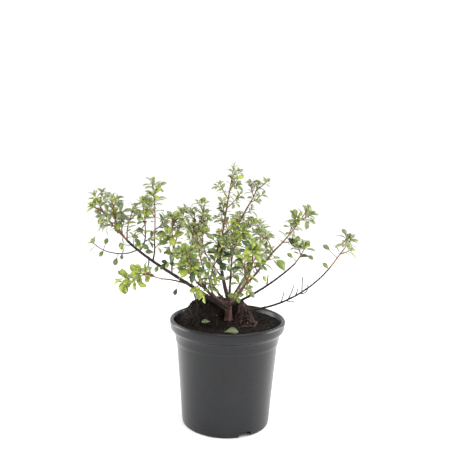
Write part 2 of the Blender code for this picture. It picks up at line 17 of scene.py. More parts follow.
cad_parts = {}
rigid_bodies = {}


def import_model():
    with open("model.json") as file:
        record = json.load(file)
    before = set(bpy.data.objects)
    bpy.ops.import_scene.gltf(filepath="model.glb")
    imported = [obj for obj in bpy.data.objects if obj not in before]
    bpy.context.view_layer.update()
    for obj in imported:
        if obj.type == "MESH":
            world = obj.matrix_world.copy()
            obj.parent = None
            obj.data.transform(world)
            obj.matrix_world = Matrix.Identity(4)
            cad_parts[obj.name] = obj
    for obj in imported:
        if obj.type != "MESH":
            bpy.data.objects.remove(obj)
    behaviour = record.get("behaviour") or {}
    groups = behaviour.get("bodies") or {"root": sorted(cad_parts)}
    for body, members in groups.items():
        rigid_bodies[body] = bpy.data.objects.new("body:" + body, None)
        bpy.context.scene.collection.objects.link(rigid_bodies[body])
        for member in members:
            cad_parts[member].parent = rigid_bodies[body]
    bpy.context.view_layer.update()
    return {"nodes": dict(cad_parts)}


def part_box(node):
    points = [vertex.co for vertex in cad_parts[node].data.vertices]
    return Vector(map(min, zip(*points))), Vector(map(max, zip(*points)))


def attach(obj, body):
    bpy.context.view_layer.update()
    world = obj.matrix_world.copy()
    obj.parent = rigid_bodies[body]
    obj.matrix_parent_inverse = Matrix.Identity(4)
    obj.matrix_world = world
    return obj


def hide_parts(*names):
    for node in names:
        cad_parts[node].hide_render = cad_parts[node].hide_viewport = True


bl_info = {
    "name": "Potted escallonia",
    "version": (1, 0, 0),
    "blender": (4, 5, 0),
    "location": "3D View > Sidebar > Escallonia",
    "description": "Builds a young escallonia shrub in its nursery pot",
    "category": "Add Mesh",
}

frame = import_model()

GOLDEN_ANGLE = math.radians(137.5)
GOLDEN_ANGLE_PLAY = 0.2
UP = Vector((0, 0, 1))

# Pot, as its solid
POT_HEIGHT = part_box("pot")[1].z
LIP_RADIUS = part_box("pot")[1].x
POT_SEGMENTS = 120
LIP_DEPTH = 0.015
LIP_INNER_RADIUS = 0.0798
BAND_TOP_RADIUS = 0.0778
BAND_FOOT_RADIUS = 0.0762
BAND_FOOT_HEIGHT = 0.1255
BODY_TOP_RADIUS = 0.0745
BODY_FOOT_RADIUS = 0.0645
UNDERSIDE_RADIUS = 0.0625
WALL = 0.0015
FLOOR = 0.0025
NOTCHES = 3
# Heading in degrees, then width, height and depth
WIDE_NOTCH = (-63.5, 0.024, 0.0075, 0.016)
NARROW_NOTCH = (-130, 0.006, 0.003, 0.004)
NOTCH_TAPER = 0.70
NOTCH_ROUNDING = 0.25
NOTCH_ROUNDING_STEPS = 3
# In degrees, the angle from which an edge of the pot stays crisp
SHARP_EDGE = 38
MERGE_GAP = 1e-6

# Soil. Its top all lies above SOIL_EDGE and is cut finer in three rounds
SOIL_EDGE = 0.1495
SOIL_CUTS = (2, 2, 1)
# Height and fineness of each size of clod
CLOD_SIZES = ((0.9, 160), (0.6, 340), (0.4, 720))
# The clods fade out near the pot's wall and near the stem
WALL_FADE = 0.003
STEM_CLEARANCE = 0.006
STEM_FADE = 0.006
SETTLING = 0.0005
# The root ball is rougher the higher it stands
BALL_FOOT = 0.153
BALL_RISE = 0.02
BALL_ROUGHNESS = 1.2

# Crumbs on the soil, most of them small
CRUMB_RAGGEDNESS = (0.6, 1.15)
CRUMB_FLATNESS = 0.8
CRUMB_RARITY = 2.2
LEAST_CRUMB = 0.0005
LEAST_SLOPE = 0.05
CRUMB_SEED = 3
CRUMB_SIZE_SEED = 7
WHITE_GRAIN_SEED = 11
WHITE_GRAIN_SHARE = 0.018
WHITE_GRAIN_SIZE = 0.75

# Roots that wind over the root ball to the right of the stem. Where they start and how
# far they sweep round it are in degrees
ROOTS = 17
ROOT_POINTS = 15
ROOT_SHIFT = 0.004
ROOT_FLATNESS = 0.9
ROOT_REACHES = (0.006, 0.036)
ROOT_STARTS = (-80, 20)
ROOT_SWEEPS = (40, 110)
ROOT_SPREAD = 0.008
ROOT_WANDERS = (0.001, 0.005)
ROOT_BENDS = 5
ROOT_PHASE = 2.1
ROOT_HUMP = 0.0016
ROOT_HUMPS = 7
ROOT_RADII = (0.0010, 0.0021)
ROOT_TAPER = 0.5
ROOT_RELIEF = 0.22
ROOT_BARK = (0.042, 0.020, 0.018)
ROOT_SCARS = (0.130, 0.072, 0.062)
# The height from which their way down to the soil is measured
ABOVE_SOIL = 0.3

# Main stem, as its solid
STEM_FOOT = Vector((0.0007, -0.012, 0.157))
STEM_TOP = Vector((0.0012, -0.012, 0.186))
STEM_RADIUS = 0.0046
STEM_FLARE = 0.0036
STEM_FLARE_LENGTH = 0.0056
STEM_LOBES = 5
STEM_LOBE_DEPTH = 0.35
STEM_SIDES = 40
STEM_RINGS = 36
# The top of its length narrows into the fork
STEM_NECK = 0.15
STEM_NARROWING = 0.35
STEM_TWIST = 0.5
# Strength of each grain, then how fine it is round the stem and along it
STEM_GRAINS = ((1.0, 3, 2.5), (0.5, 7, 9))
STEM_BARK = (0.070, 0.033, 0.024)
STEM_SCARS = (0.150, 0.080, 0.058)

# Limbs, as their solids
Bough = namedtuple("Bough", "name parent at heading pitch length swing lift foot tip")
BOUGHS = [
    Bough("far_left", "stem", 0.45, 148, 26, 0.190, 83, 14, 0.0030, 0.0016),
    Bough("left", "stem", 0.62, 161, 22, 0.113, -53, 40, 0.0025, 0.0014),
    Bough("leader", "stem", 0.97, 150, 68, 0.074, 5, 17, 0.0030, 0.0018),
    Bough("right", "stem", 0.90, 27, 39, 0.099, -10, 14, 0.0025, 0.0013),
    Bough("right_low", "stem", 0.70, -14, 28, 0.122, -19, 17, 0.0020, 0.0010),
    Bough("right_lowest", "soil_right", 0, 12, 3, 0.142, -2, 47, 0.0017, 0.0010),
    Bough("right_upper", "leader", 0.92, 48, 46, 0.085, -7, 9, 0.0016, 0.0012),
    Bough("far_left_upright", "far_left", 0.715, -62, 43, 0.036, -22, 76, 0.0012, 0.0009),
    Bough("far_left_second", "far_left", 0.86, -63, 22, 0.059, -18, 23, 0.0011, 0.0008),
    Bough("far_left_low", "far_left", 0.76, -77, -12, 0.057, -22, 9, 0.0010, 0.0007),
    Bough("far_left_wisp", "far_left", 0.875, 150, -30, 0.047, 55, 50, 0.0009, 0.0007),
    Bough("left_low", "far_left", 0.36, -116, 22, 0.088, 4, -10, 0.0012, 0.0008),
    Bough("left_inner", "far_left", 0.535, -83, 40, 0.073, 1, -4, 0.0013, 0.0010),
    Bough("inner_left", "leader", 0.45, 127, 28, 0.055, -1, 9, 0.0013, 0.0009),
    Bough("inner_front", "stem", 0.75, -158, 27, 0.094, 103, 39, 0.0016, 0.0010),
    Bough("left_sucker", "soil_left", 0, -138, 62, 0.051, 35, 4, 0.0010, 0.0008),
    Bough("back", "stem", 0.95, 88, 23, 0.092, 0, 8, 0.0022, 0.0012),
    Bough("back_left", "stem", 0.70, 116, 14, 0.112, -4, 12, 0.0022, 0.0012),
    Bough("back_right", "stem", 0.85, 71, 18, 0.109, -4, 8, 0.0021, 0.0012),
    Bough("front_left", "stem", 0.55, -124, 35, 0.101, 7, -4, 0.0019, 0.0011),
    Bough("front_right", "stem", 0.70, -66, 33, 0.095, -14, 3, 0.0018, 0.0011),
]
SOIL_FEET = {
    "soil_right": Vector((0.030, 0.004, 0.168)),
    "soil_left": Vector((-0.041, -0.012, 0.172)),
}
COURSE_STEP = 0.016
SHOOT_STEP = 0.018
SHOOT_TIP = 0.0006

# Masses of foliage, as their solids, each with the tone of most of its leaves
Foliage = namedtuple(
    "Foliage", "name bough heading pitch length swing lift foot twigs reach bare tone"
)
FOLIAGE = [
    Foliage("leader", "leader", 15, 82, 0.125, -3, -1, 0.0016, 7, 0.034, 0.12, "fresh"),
    Foliage("leader_side", "leader", -11, 17, 0.071, -41, 58, 0.0010, 3, 0.022, 0.35, "fresh"),
    Foliage("right_upper", "right_upper", 29, 53, 0.040, 1, 16, 0.0011, 3, 0.026, 0.10, "fresh"),
    Foliage("right", "right", 14, 43, 0.081, 0, 16, 0.0012, 4, 0.022, 0.15, "mixed"),
    Foliage("right_pale", "right", 120, 52, 0.038, 17, -10, 0.0008, 1, 0.016, 0.40, "pale"),
    Foliage("right_low", "right_low", -40, 52, 0.028, -7, 9, 0.0009, 1, 0.014, 0.35, "mixed"),
    Foliage("right_lowest", "right_lowest", 15, 53, 0.054, -1, -1, 0.0009, 2, 0.020, 0.35, "mixed"),
    Foliage("far_left_crown", "far_left", -157, 50, 0.063, 70, 25, 0.0011, 4, 0.026, 0.10, "deep"),
    Foliage("far_left_tip", "far_left", 172, 41, 0.079, -2, 23, 0.0010, 4, 0.026, 0.25, "fresh"),
    Foliage("far_left_inner", "far_left", 10, 95, 0.049, 5, -36, 0.0009, 1, 0.016, 0.30, "mixed"),
    Foliage(
        "far_left_upright", "far_left_upright", 109, 102, 0.085, 7, -45, 0.0008, 4, 0.024, 0.05, "fresh"
    ),
    Foliage(
        "far_left_second", "far_left_second", -101, 84, 0.043, -11, -15, 0.0007, 2, 0.020, 0.10, "mixed"
    ),
    Foliage("far_left_low", "far_left_low", -150, -19, 0.034, 8, -6, 0.0006, 2, 0.018, 0.15, "lime"),
    Foliage("far_left_wisp", "far_left_wisp", 175, 18, 0.023, 1, 23, 0.0006, 0, 0.0, 0.30, "lime"),
    Foliage("left_low", "left_low", -145, 16, 0.033, 4, 18, 0.0007, 2, 0.016, 0.15, "lime"),
    Foliage("left_inner", "left_inner", -103, 70, 0.051, 23, -4, 0.0008, 2, 0.018, 0.15, "mixed"),
    Foliage("left_inner_high", "left_inner", 44, 71, 0.059, -2, 0, 0.0008, 2, 0.018, 0.25, "pale"),
    Foliage("left_crown", "left", 71, 73, 0.060, -4, 14, 0.0011, 4, 0.026, 0.10, "deep"),
    Foliage("left_back", "left", 53, 55, 0.080, 12, 18, 0.0009, 4, 0.024, 0.25, "mixed"),
    Foliage("left_sucker", "left_sucker", -108, 69, 0.034, -8, -7, 0.0007, 1, 0.014, 0.15, "mixed"),
    Foliage("inner_left", "inner_left", 132, 50, 0.039, -3, 58, 0.0008, 3, 0.022, 0.10, "deep"),
    Foliage("inner_front", "inner_front", -45, 54, 0.047, -41, 12, 0.0009, 3, 0.022, 0.10, "mixed"),
    Foliage("front_sprig", "front_right", 108, 66, 0.036, 30, -10, 0.0008, 3, 0.017, 0.10, "lime"),
    Foliage("front_left", "front_left", -135, 48, 0.055, 44, 16, 0.0010, 4, 0.024, 0.10, "mixed"),
    Foliage("front_right", "front_right", -51, 59, 0.060, -58, 3, 0.0010, 4, 0.024, 0.10, "mixed"),
    Foliage("back", "back", 98, 55, 0.070, 19, 7, 0.0011, 4, 0.026, 0.10, "deep"),
    Foliage("back_high", "back", -22, 81, 0.079, -8, -1, 0.0009, 4, 0.024, 0.20, "mixed"),
    Foliage("back_left", "back_left", 120, 51, 0.073, -20, 11, 0.0011, 5, 0.026, 0.10, "deep"),
    Foliage("back_right", "back_right", 49, 49, 0.072, 43, 15, 0.0011, 5, 0.026, 0.10, "mixed"),
]
TWIG_SPREAD = (37, 53)
TWIG_RISE = 0.35
TWIG_SIZES = (0.85, 1.1)
TWIG_STEP = 0.017
LAST_TWIG = 0.88
TWIG_SHORTENING = 0.45
TWIG_RADIUS = 0.0009
TWIG_TIP = 0.0005

# Spurs on the side twigs: where along them, how often one is missing, how they lean
# along and away from the twig, and their lengths as a share of the mass's reach
TWIG_SPUR_PLACES = (0.35, 0.62)
MISSING_TWIG_SPURS = 0.25
TWIG_SPUR_LEAN = (0.72, 0.69)
TWIG_SPUR_LENGTHS = (0.22, 0.38)
TWIG_SPUR_STEP = 0.006
TWIG_SPUR_FOOT = TWIG_TIP * 1.2
SPUR_TIP = TWIG_TIP * 0.8

# Spurs on the outer part of the boughs, which carry a few leaves each. These boughs have
# none
BARE_BOUGHS = (
    "far_left_wisp", "far_left_low", "left_low", "left_sucker", "right_low", "right_lowest"
)
FIRST_SPUR = 0.50
LATE_SPURS = {"far_left": 0.90, "right": 0.80, "left": 0.66, "leader": 0.75, "right_upper": 0.60}
LAST_SPUR = 0.97
SPUR_GAP = 0.010
SPUR_LEAN = (0.6, 0.8)
SPUR_LENGTHS = (0.006, 0.013)
SPUR_STEP = 0.005
SPUR_FOOT = TWIG_TIP * 1.3
SPUR_TONES = ("mixed", "fresh", "pale")
SPUR_LEAF_SHARE = 0.85

# The share of their length that is bare of leaves
TWIG_BARE = 0.25
TWIG_SPUR_BARE = 0.4
SPUR_BARE = 0.3

# How a limb is made: the sides of its tube, the gap between its rings and between its
# knobs, and how much its foot swells. The shortest keep the points of their course
LimbKind = namedtuple("LimbKind", "sides ring_gap knob_gap swell")
BOUGH_KIND = LimbKind(10, 0.0016, 0.0085, 0.15)
SHOOT_KIND = LimbKind(7, 0.0022, 0.0045, 0.15)
TWIG_KIND = LimbKind(6, 0.0024, 0.0045, 0)
SPUR_KIND = LimbKind(5, None, 0.004, 0)
BARE_TWIG_KIND = LimbKind(5, None, 0.005, 0)
ROOT_KIND = LimbKind(7, 0.002, 0.009, 0)
SWELL_REACH = 3
KNOB_HEIGHT = 2.2
KNOB_SHARPNESS = 6
GRAIN_FINENESS = 1.6
GRAIN_LENGTH = 5
# The relief of young bark is this much higher
YOUNG_RELIEF = 1.3

# Boughs with paler bark, and how much lighter than its own colour each bark or scar is
PALE_BOUGHS = ("right", "right_upper", "front_right", "inner_front")
OLD_SCARS = 2.6
PALE_BARK = 4.0
PALE_SCARS = 8.0
YOUNG_SCARS = 2.0

# The chance of each tint of leaf in a spray of each tone
TINTS = ("lime", "fresh", "deep", "grey")
TONES = {
    "lime": (0.75, 0.25, 0.0, 0.0),
    "fresh": (0.25, 0.45, 0.15, 0.15),
    "mixed": (0.16, 0.34, 0.24, 0.26),
    "deep": (0.05, 0.30, 0.40, 0.25),
    "pale": (0.30, 0.15, 0.05, 0.50),
}

# Leaves of the lime sprays stand this much further apart
OPEN_SPACING = 1.7

# Masses with smaller leaves, set closer by the same share
SMALL_LEAVES = {
    "leader": 0.70, "leader_side": 0.80, "right_upper": 0.76, "left_back": 0.80, "left_crown": 0.82,
    "left_inner_high": 0.80, "inner_left": 0.80, "back_high": 0.80, "far_left_inner": 0.80,
}

# The spiral of leaves along a shoot. Angles are in degrees from the shoot
TINTS_IN_SPRAY = 3
LEAF_OFFSET = 0.4
LAST_LEAF = 0.93
MISSING_LEAVES = 0.14
LEAF_SIZES = (0.62, 1.08)
LEAF_OPENING = 74
LEAF_CLOSING = 22
LEAF_PLAY = 12

# The rosette at the tip of a shoot. Its leaves are younger and shorter inwards
ROSETTE_REACH = 0.065
ROSETTE_SIZES = (0.9, 1.1)
ROSETTE_LENGTH = 0.92
ROSETTE_SHORTENING = 0.42
ROSETTE_OPENING = 64
ROSETTE_CLOSING = 44
ROSETTE_PLAY = 6
YOUNG_FROM = 0.45
YOUNG_CHANCE = 0.3
# Side sprays and open sprays have this many leaves fewer in their rosettes
FEWER_LEAVES = 2

# All leaves: how far they droop, their widths, and how far they turn to the sky
LEAF_DROOP = (0.0, 0.16)
LEAF_WIDTHS = (0.85, 1.15)
SKYWARD = 0.45
LEAF_ROUGHNESS = 0.30
UNDERSIDE_ROUGHNESS = 0.55

# One leaf, 1 long: where its rows lie, its stalk, its widest place, how full its
# outline is, how it sags and arches, how deep its keel is, and how thick it is
LEAF_ROWS = (0, 0.10, 0.20, 0.33, 0.47, 0.60, 0.72, 0.83, 0.92, 0.98, 1.0)
STALK_SHARE = 0.08
STALK_HALF_WIDTH = 0.022
STALK_END = 0.9
WIDEST = 0.62
LEAF_FULLNESS = 0.72
LEAF_SAG = 0.16
LEAF_ARCH = 0.05
LEAF_KEEL = 0.22
LEAF_THICKNESS = 0.018

# Bare twigs that stand on a bough: where along it, heading, pitch, length and lift
BareTwig = namedtuple("BareTwig", "bough at heading pitch length lift swing", defaults=(20,))
BARE_TWIGS = [
    BareTwig("right_lowest", 0.36, 40, 62, 0.017, 6),
    BareTwig("right_lowest", 0.44, 30, 56, 0.024, 8),
    BareTwig("right_lowest", 0.53, 35, 58, 0.012, 10),
    BareTwig("right_lowest", 0.61, 80, 84, 0.023, 12),
    BareTwig("right_lowest", 0.58, -10, -14, 0.022, 130),
    BareTwig("right_lowest", 0.42, -20, -30, 0.013, 60),
    BareTwig("right_low", 0.55, 60, 70, 0.016, 8),
    BareTwig("right", 0.62, 150, 60, 0.015, 20),
    BareTwig("far_left", 0.30, 60, 60, 0.020, 10),
    BareTwig("left", 0.40, 100, 50, 0.018, 15),
]
BARE_TWIG_STEP = 0.003
BARE_TWIG_FOOT = 0.0009
BARE_TWIG_TIP = 0.0006

# Leaves that show one by one: the limb, how far along it, then in millimetres where the
# middle of the blade is from there, and its length
LoneLeaf = namedtuple("LoneLeaf", "limb at away length tint")
LONE_LEAVES = [
    LoneLeaf("shoot far_left_wisp", 0.98, (0, -2, 4), 9, "fresh"),
    LoneLeaf("shoot far_left_wisp", 0.26, (4, 0, 12), 11, "fresh"),
    LoneLeaf("far_left_wisp", 0.52, (-2, -1, 10), 13, "lime"),
    LoneLeaf("shoot far_left_wisp", 0.22, (-4, -3, -6), 11, "fresh"),
    LoneLeaf("far_left_wisp", 0.66, (-3, -3, -11), 13, "grey"),
    LoneLeaf("far_left_wisp", 0.54, (0, -3, -6), 9, "grey"),
    LoneLeaf("shoot far_left_low", 0.32, (-4, -1, 7), 16, "lime"),
    LoneLeaf("shoot far_left_low", 0.28, (2, -3, -8), 14, "lime"),
    LoneLeaf("shoot far_left_low", 0.80, (-8, -1, 9), 11, "grey"),
    LoneLeaf("shoot far_left_low", 0.98, (2, -3, -7), 16, "fresh"),
    LoneLeaf("left_low", 0.40, (-5, -4, -14), 11, "deep"),
    LoneLeaf("shoot far_left_second", 0.08, (-7, -2, 1), 13, "grey"),
    LoneLeaf("shoot left_inner", 0.20, (-12, -2, 1), 14, "fresh"),
    LoneLeaf("shoot far_left_upright", 0.08, (8, -2, 1), 16, "grey"),
    LoneLeaf("far_left_upright", 0.44, (-6, -2, 1), 13, "grey"),
    LoneLeaf("left_inner", 0.80, (-5, -2, 2), 11, "lime"),
    LoneLeaf("shoot far_left_inner", 0.10, (11, -2, 1), 11, "fresh"),
    LoneLeaf("far_left", 0.66, (-2, -2, -5), 11, "fresh"),
    LoneLeaf("shoot right", 0.36, (10, -3, -6), 21, "deep"),
    LoneLeaf("shoot right_low", 0.98, (3, -1, 6), 13, "fresh"),
    LoneLeaf("right_low", 0.84, (-5, -1, 9), 20, "fresh"),
    LoneLeaf("shoot back_right", 0.56, (2, -2, 0), 16, "fresh"),
    LoneLeaf("shoot right_lowest", 0.36, (-17, 0, 15), 14, "grey"),
    LoneLeaf("right_lowest", 0.98, (-5, -1, 6), 13, "fresh"),
    LoneLeaf("shoot right_low", 0.66, (12, -2, -4), 11, "grey"),
    LoneLeaf("shoot left_low", 0.64, (-2, -2, -6), 11, "lime"),
    LoneLeaf("right_low", 0.56, (-4, -1, 9), 11, "lime"),
    LoneLeaf("shoot right_low", 0.16, (-9, -1, 8), 11, "fresh"),
    LoneLeaf("right", 0.98, (-5, -2, 2), 11, "grey"),
    LoneLeaf("shoot right_lowest", 0.98, (-10, -1, 12), 13, "grey"),
]
# Where the middle of the blade is along such a leaf, which way it faces, and its width,
# as a share of a leaf of the usual shape
BLADE_MIDDLE = 0.55
LONE_LEAF_FACING = Vector((0.2, -1, 0.7))
LONE_LEAF_WIDTH = 1.1
BROAD_LEAF_WIDTH = 1.25
BROAD_LEAF_LENGTH = 15
# Where it isn't on the limb itself, its thin twig
LEAST_STALK = 0.002
STALK_BEND = 0.0008
STALK_FOOT = 0.0005
STALK_TIP = 0.0004

# Leaves that have dropped on the soil: where the stalk is, heading, length and width
FallenLeaf = namedtuple("FallenLeaf", "place heading length width")
FALLEN_LEAVES = [
    FallenLeaf(Vector((-0.004, -0.058, 0.1525)), 12, 0.020, 0.028),
    FallenLeaf(Vector((-0.024, -0.034, 0.1600)), 200, 0.013, 0.016),
]
FALLEN_LEAF_RISE = 0.12
FALLEN_LEAF_FACING = Vector((0, -0.55, 1))
FALLEN_LEAF_TINT = "grey"

# Camera, at the photograph's place, for a picture as wide as it is high
CAMERA_PLACE = Vector((0, -0.898, 0.411))
CAMERA_TURN = 0.45
CAMERA_PITCH = -7.4
CAMERA_ROLL = 1.35
SENSOR = 36
FOCAL_PIXELS = 626.7
PICTURE_PIXELS = 450
NEAR_CLIP = 0.01

# Studio: place, size and power of each soft light
SOFTBOXES = {
    "overhead_light": (Vector((0.1, -0.3, 1.3)), 1.0, 9),
    "left_light": (Vector((-1.0, 0.20, 0.30)), 0.8, 13),
    "right_light": (Vector((1.0, 0.20, 0.30)), 0.8, 13),
}
LIGHT_AIM = Vector((0, 0, 0.2))
WORLD_STRENGTH = 1.08
FLOOR_HALF_WIDTH = 9
FLOOR_WHITE = (0.96, 0.96, 0.96, 1)
FLOOR_ROUGHNESS = 0.9


# Settings that a user may change


class PlantSizes(bpy.types.PropertyGroup):
    leaf_length: FloatProperty(
        name="Leaf length", description="Of a full-grown leaf", default=0.0178, unit="LENGTH"
    )
    leaf_width: FloatProperty(
        name="Leaf width", description="As a share of the leaf's length", default=0.50, subtype="FACTOR"
    )
    leaf_spacing: FloatProperty(
        name="Leaf spacing", description="Between leaves along a shoot", default=0.0052, unit="LENGTH"
    )
    rosette: IntProperty(
        name="Rosette", description="Leaves crowded at the tip of a shoot", default=6
    )
    bark_relief: FloatProperty(
        name="Bark relief", description="As a share of the limb's radius", default=0.13, subtype="FACTOR"
    )
    clod: FloatProperty(
        name="Clods", description="Height of the soil's roughness", default=0.0046, unit="LENGTH"
    )
    crumb_density: FloatProperty(
        name="Crumbs", description="Crumbs of peat on a square metre of soil", default=70000
    )
    crumb: FloatProperty(
        name="Crumb size", description="Of the largest crumbs", default=0.0030, unit="LENGTH"
    )


def colour_setting(name, description, default):
    return FloatVectorProperty(
        name=name, description=description, default=default, size=3, min=0, max=1, subtype="COLOR"
    )


class PlantColours(bpy.types.PropertyGroup):
    lime: colour_setting("Lime leaf", "Youngest leaves", (0.350, 0.415, 0.070))
    fresh: colour_setting("Fresh leaf", "Leaves of this year", (0.190, 0.255, 0.058))
    deep: colour_setting("Deep leaf", "Older leaves", (0.045, 0.085, 0.024))
    grey: colour_setting("Grey leaf", "Dull older leaves", (0.165, 0.205, 0.095))
    underside: colour_setting("Underside", "Lower side of every leaf", (0.360, 0.400, 0.210))
    old_bark: colour_setting("Old bark", "Older boughs", (0.026, 0.014, 0.011))
    young_bark: colour_setting("Young bark", "Shoots and twigs", (0.170, 0.062, 0.026))
    peat: colour_setting("Peat", "Soil and crumbs", (0.0095, 0.0062, 0.0044))
    plastic: colour_setting("Plastic", "Pot", (0.0100, 0.0104, 0.0120))


# Shader and geometry nodes


class Value:
    """A number that varies. Arithmetic on it adds Math nodes."""

    def __init__(self, tree, socket):
        self.tree = tree
        self.socket = socket

    def maths(self, operation, first, second):
        inputs = {0: first, 1: second}
        result = add_node(self.tree, "ShaderNodeMath", {"operation": operation}, inputs)
        return Value(self.tree, result)

    def __add__(self, other):
        return self.maths("ADD", self, other)

    def __radd__(self, other):
        return self.maths("ADD", other, self)

    def __mul__(self, other):
        return self.maths("MULTIPLY", self, other)

    def __rmul__(self, other):
        return self.maths("MULTIPLY", other, self)

    def __pow__(self, other):
        return self.maths("POWER", self, other)


def feed(tree, socket, value):
    """Links a value or socket, or sets a plain number, colour, object or name."""
    if isinstance(value, Value):
        value = value.socket
    if isinstance(value, bpy.types.NodeSocket):
        tree.links.new(value, socket)
    else:
        socket.default_value = value


def chosen_socket(sockets, name):
    """The socket of that name or number, among those that the node's settings leave in use."""
    in_use = [socket for socket in sockets if socket.enabled]
    if isinstance(name, int):
        return in_use[name]
    return next(socket for socket in in_use if socket.name == name)


def add_node(tree, kind, settings=None, inputs=None, output=0):
    """A node with its settings, then its inputs by name or number. It gives back one output."""
    node = tree.nodes.new(kind)
    for name, value in (settings or {}).items():
        if name == "stops":
            set_stops(node.color_ramp, value)
        else:
            setattr(node, name, value)
    for name, value in (inputs or {}).items():
        feed(tree, chosen_socket(node.inputs, name), value)
    return chosen_socket(node.outputs, output)


def set_stops(ramp, stops):
    while len(ramp.elements) < len(stops):
        ramp.elements.new(1)
    for element, (place, colour) in zip(ramp.elements, stops):
        element.position = place
        element.color = (*colour, 1)


class Finish:
    """One material on a Principled shader, patterned by place on the piece."""

    def __init__(self, name):
        self.material = bpy.data.materials.new(name)
        self.material.use_nodes = True
        self.tree = self.material.node_tree
        self.shader = self.tree.nodes["Principled BSDF"]
        self.place = self.node("ShaderNodeTexCoord", output="Object")

    def node(self, kind, settings=None, inputs=None, output=0):
        return Value(self.tree, add_node(self.tree, kind, settings, inputs, output))

    def noise(self, scale, detail=3, roughness=0.55, place=None):
        inputs = {"Vector": place or self.place, "Scale": scale}
        inputs |= {"Detail": detail, "Roughness": roughness}
        return self.node("ShaderNodeTexNoise", {}, inputs)

    def ramp(self, value, *stops):
        return self.node("ShaderNodeValToRGB", {"stops": stops}, {"Fac": value})

    def stretched(self, *scale):
        return self.node("ShaderNodeMapping", {}, {"Vector": self.place, "Scale": scale})

    def set(self, **values):
        """Sets or links the shader's inputs, written with _ for each space."""
        for name, value in values.items():
            feed(self.tree, self.shader.inputs[name.replace("_", " ")], value)

    def bump(self, height, distance, strength=1.0):
        inputs = {"Height": height, "Distance": distance, "Strength": strength}
        self.set(Normal=self.node("ShaderNodeBump", {}, inputs))


def shade(colour, share):
    """A darker colour, or a lighter one where the share is over 1."""
    return tuple(min(1, part * share) for part in colour)


def leaf_finish(name, colour, roughness):
    """Glossy leaf with a faint mottle."""
    finish = Finish(name)
    mottle = finish.noise(scale=240, detail=2)
    finish.set(
        Base_Color=finish.ramp(mottle, (0.30, shade(colour, 0.80)), (0.70, shade(colour, 1.18))),
        Roughness=roughness + 0.10 * finish.noise(scale=500, detail=1),
        Specular_IOR_Level=0.32,
    )
    finish.bump(finish.noise(scale=700, detail=2), distance=0.0002, strength=0.35)
    return finish.material


def bark_finish(name, colour, pale):
    """Thin bark with darker cracks and pale scars."""
    finish = Finish(name)
    grain = finish.noise(scale=420, detail=4, roughness=0.65)
    patches = finish.noise(scale=90, detail=2)
    tone = grain * 0.6 + patches * 0.4
    finish.set(
        Base_Color=finish.ramp(tone, (0.32, shade(colour, 0.35)), (0.50, colour), (0.66, pale)),
        Roughness=0.62 + 0.2 * grain,
        Specular_IOR_Level=0.3,
    )
    finish.bump(grain, distance=0.0004, strength=0.8)
    return finish.material


def peat_finish(name, colour):
    """Moist peat: near black, with brown fibres."""
    finish = Finish(name)
    crumbs = finish.noise(scale=900, detail=5, roughness=0.7)
    fibres = finish.noise(scale=260, detail=3, roughness=0.6)
    tone = crumbs * 0.5 + fibres * 0.5
    cracks, flecks = shade(colour, 0.25), shade(colour, 4.5)
    finish.set(
        Base_Color=finish.ramp(tone, (0.36, cracks), (0.52, colour), (0.66, flecks)),
        Roughness=0.85 + 0.1 * crumbs,
        Specular_IOR_Level=0.2,
    )
    finish.bump(crumbs, distance=0.0012, strength=0.9)
    return finish.material


def plastic_finish(name, colour):
    """Moulded plastic: satin, with dull patches and fine scuff streaks round it. In the colour the
    streaks are partly painted highlight marks.
    """
    finish = Finish(name)
    patches = finish.noise(scale=26, detail=3)
    drawn_out = finish.stretched(0.25, 0.25, 2.5)
    # Fine scuff streaks. They shape the roughness and the bumps, and in the colour they also serve as
    # painted highlight marks
    scuffs_and_highlights = finish.noise(scale=160, detail=4, roughness=0.7, place=drawn_out)
    tone = 0.6 * patches + 0.4 * scuffs_and_highlights
    # The lighter colour of the scuff streaks is partly painted highlight: it stands for glossy highlight
    # marks on the plastic
    dull, worn_and_highlit = shade(colour, 0.82), shade(colour, 1.30)
    finish.set(
        Base_Color=finish.ramp(tone, (0.34, dull), (0.52, colour), (0.70, worn_and_highlit)),
        Roughness=0.20 + 0.10 * patches + 0.08 * scuffs_and_highlights,
        Specular_IOR_Level=0.34,
    )
    texture = finish.noise(scale=1500, detail=2)
    finish.bump(texture * 0.4 + scuffs_and_highlights * 0.6, distance=0.00012, strength=0.5)
    return finish.material


def grain_finish(name, colour, roughness):
    """A dry mineral grain, speckled."""
    finish = Finish(name)
    speckle = finish.noise(scale=800, detail=2)
    finish.set(
        Base_Color=finish.ramp(speckle, (0.35, shade(colour, 0.8)), (0.65, colour)),
        Roughness=roughness,
    )
    return finish.material


def geometry_tree(name, inputs):
    """A Geometry Nodes tree with named inputs. It gives back the tree and its input node."""
    tree = bpy.data.node_groups.new(name, "GeometryNodeTree")
    tree.interface.new_socket("Geometry", in_out="INPUT", socket_type="NodeSocketGeometry")
    for label, kind in inputs:
        tree.interface.new_socket(label, in_out="INPUT", socket_type=f"NodeSocket{kind}")
    tree.interface.new_socket("Geometry", in_out="OUTPUT", socket_type="NodeSocketGeometry")
    return tree, tree.nodes.new("NodeGroupInput")


def attribute(tree, name, kind):
    return add_node(tree, "GeometryNodeInputNamedAttribute", {"data_type": kind}, {"Name": name})


def finish_tree(tree, geometry, finish, underside=None):
    """Realizes the instances, sets their materials and gives the result to the output."""
    whole = add_node(tree, "GeometryNodeRealizeInstances", {}, {"Geometry": geometry})
    inputs = {"Geometry": whole, "Material": finish}
    whole = add_node(tree, "GeometryNodeSetMaterial", {}, inputs)
    if underside:
        marked = attribute(tree, "underside", "BOOLEAN")
        inputs = {"Geometry": whole, "Material": underside, "Selection": marked}
        whole = add_node(tree, "GeometryNodeSetMaterial", {}, inputs)
    end = tree.nodes.new("NodeGroupOutput")
    tree.links.new(whole, end.inputs[0])


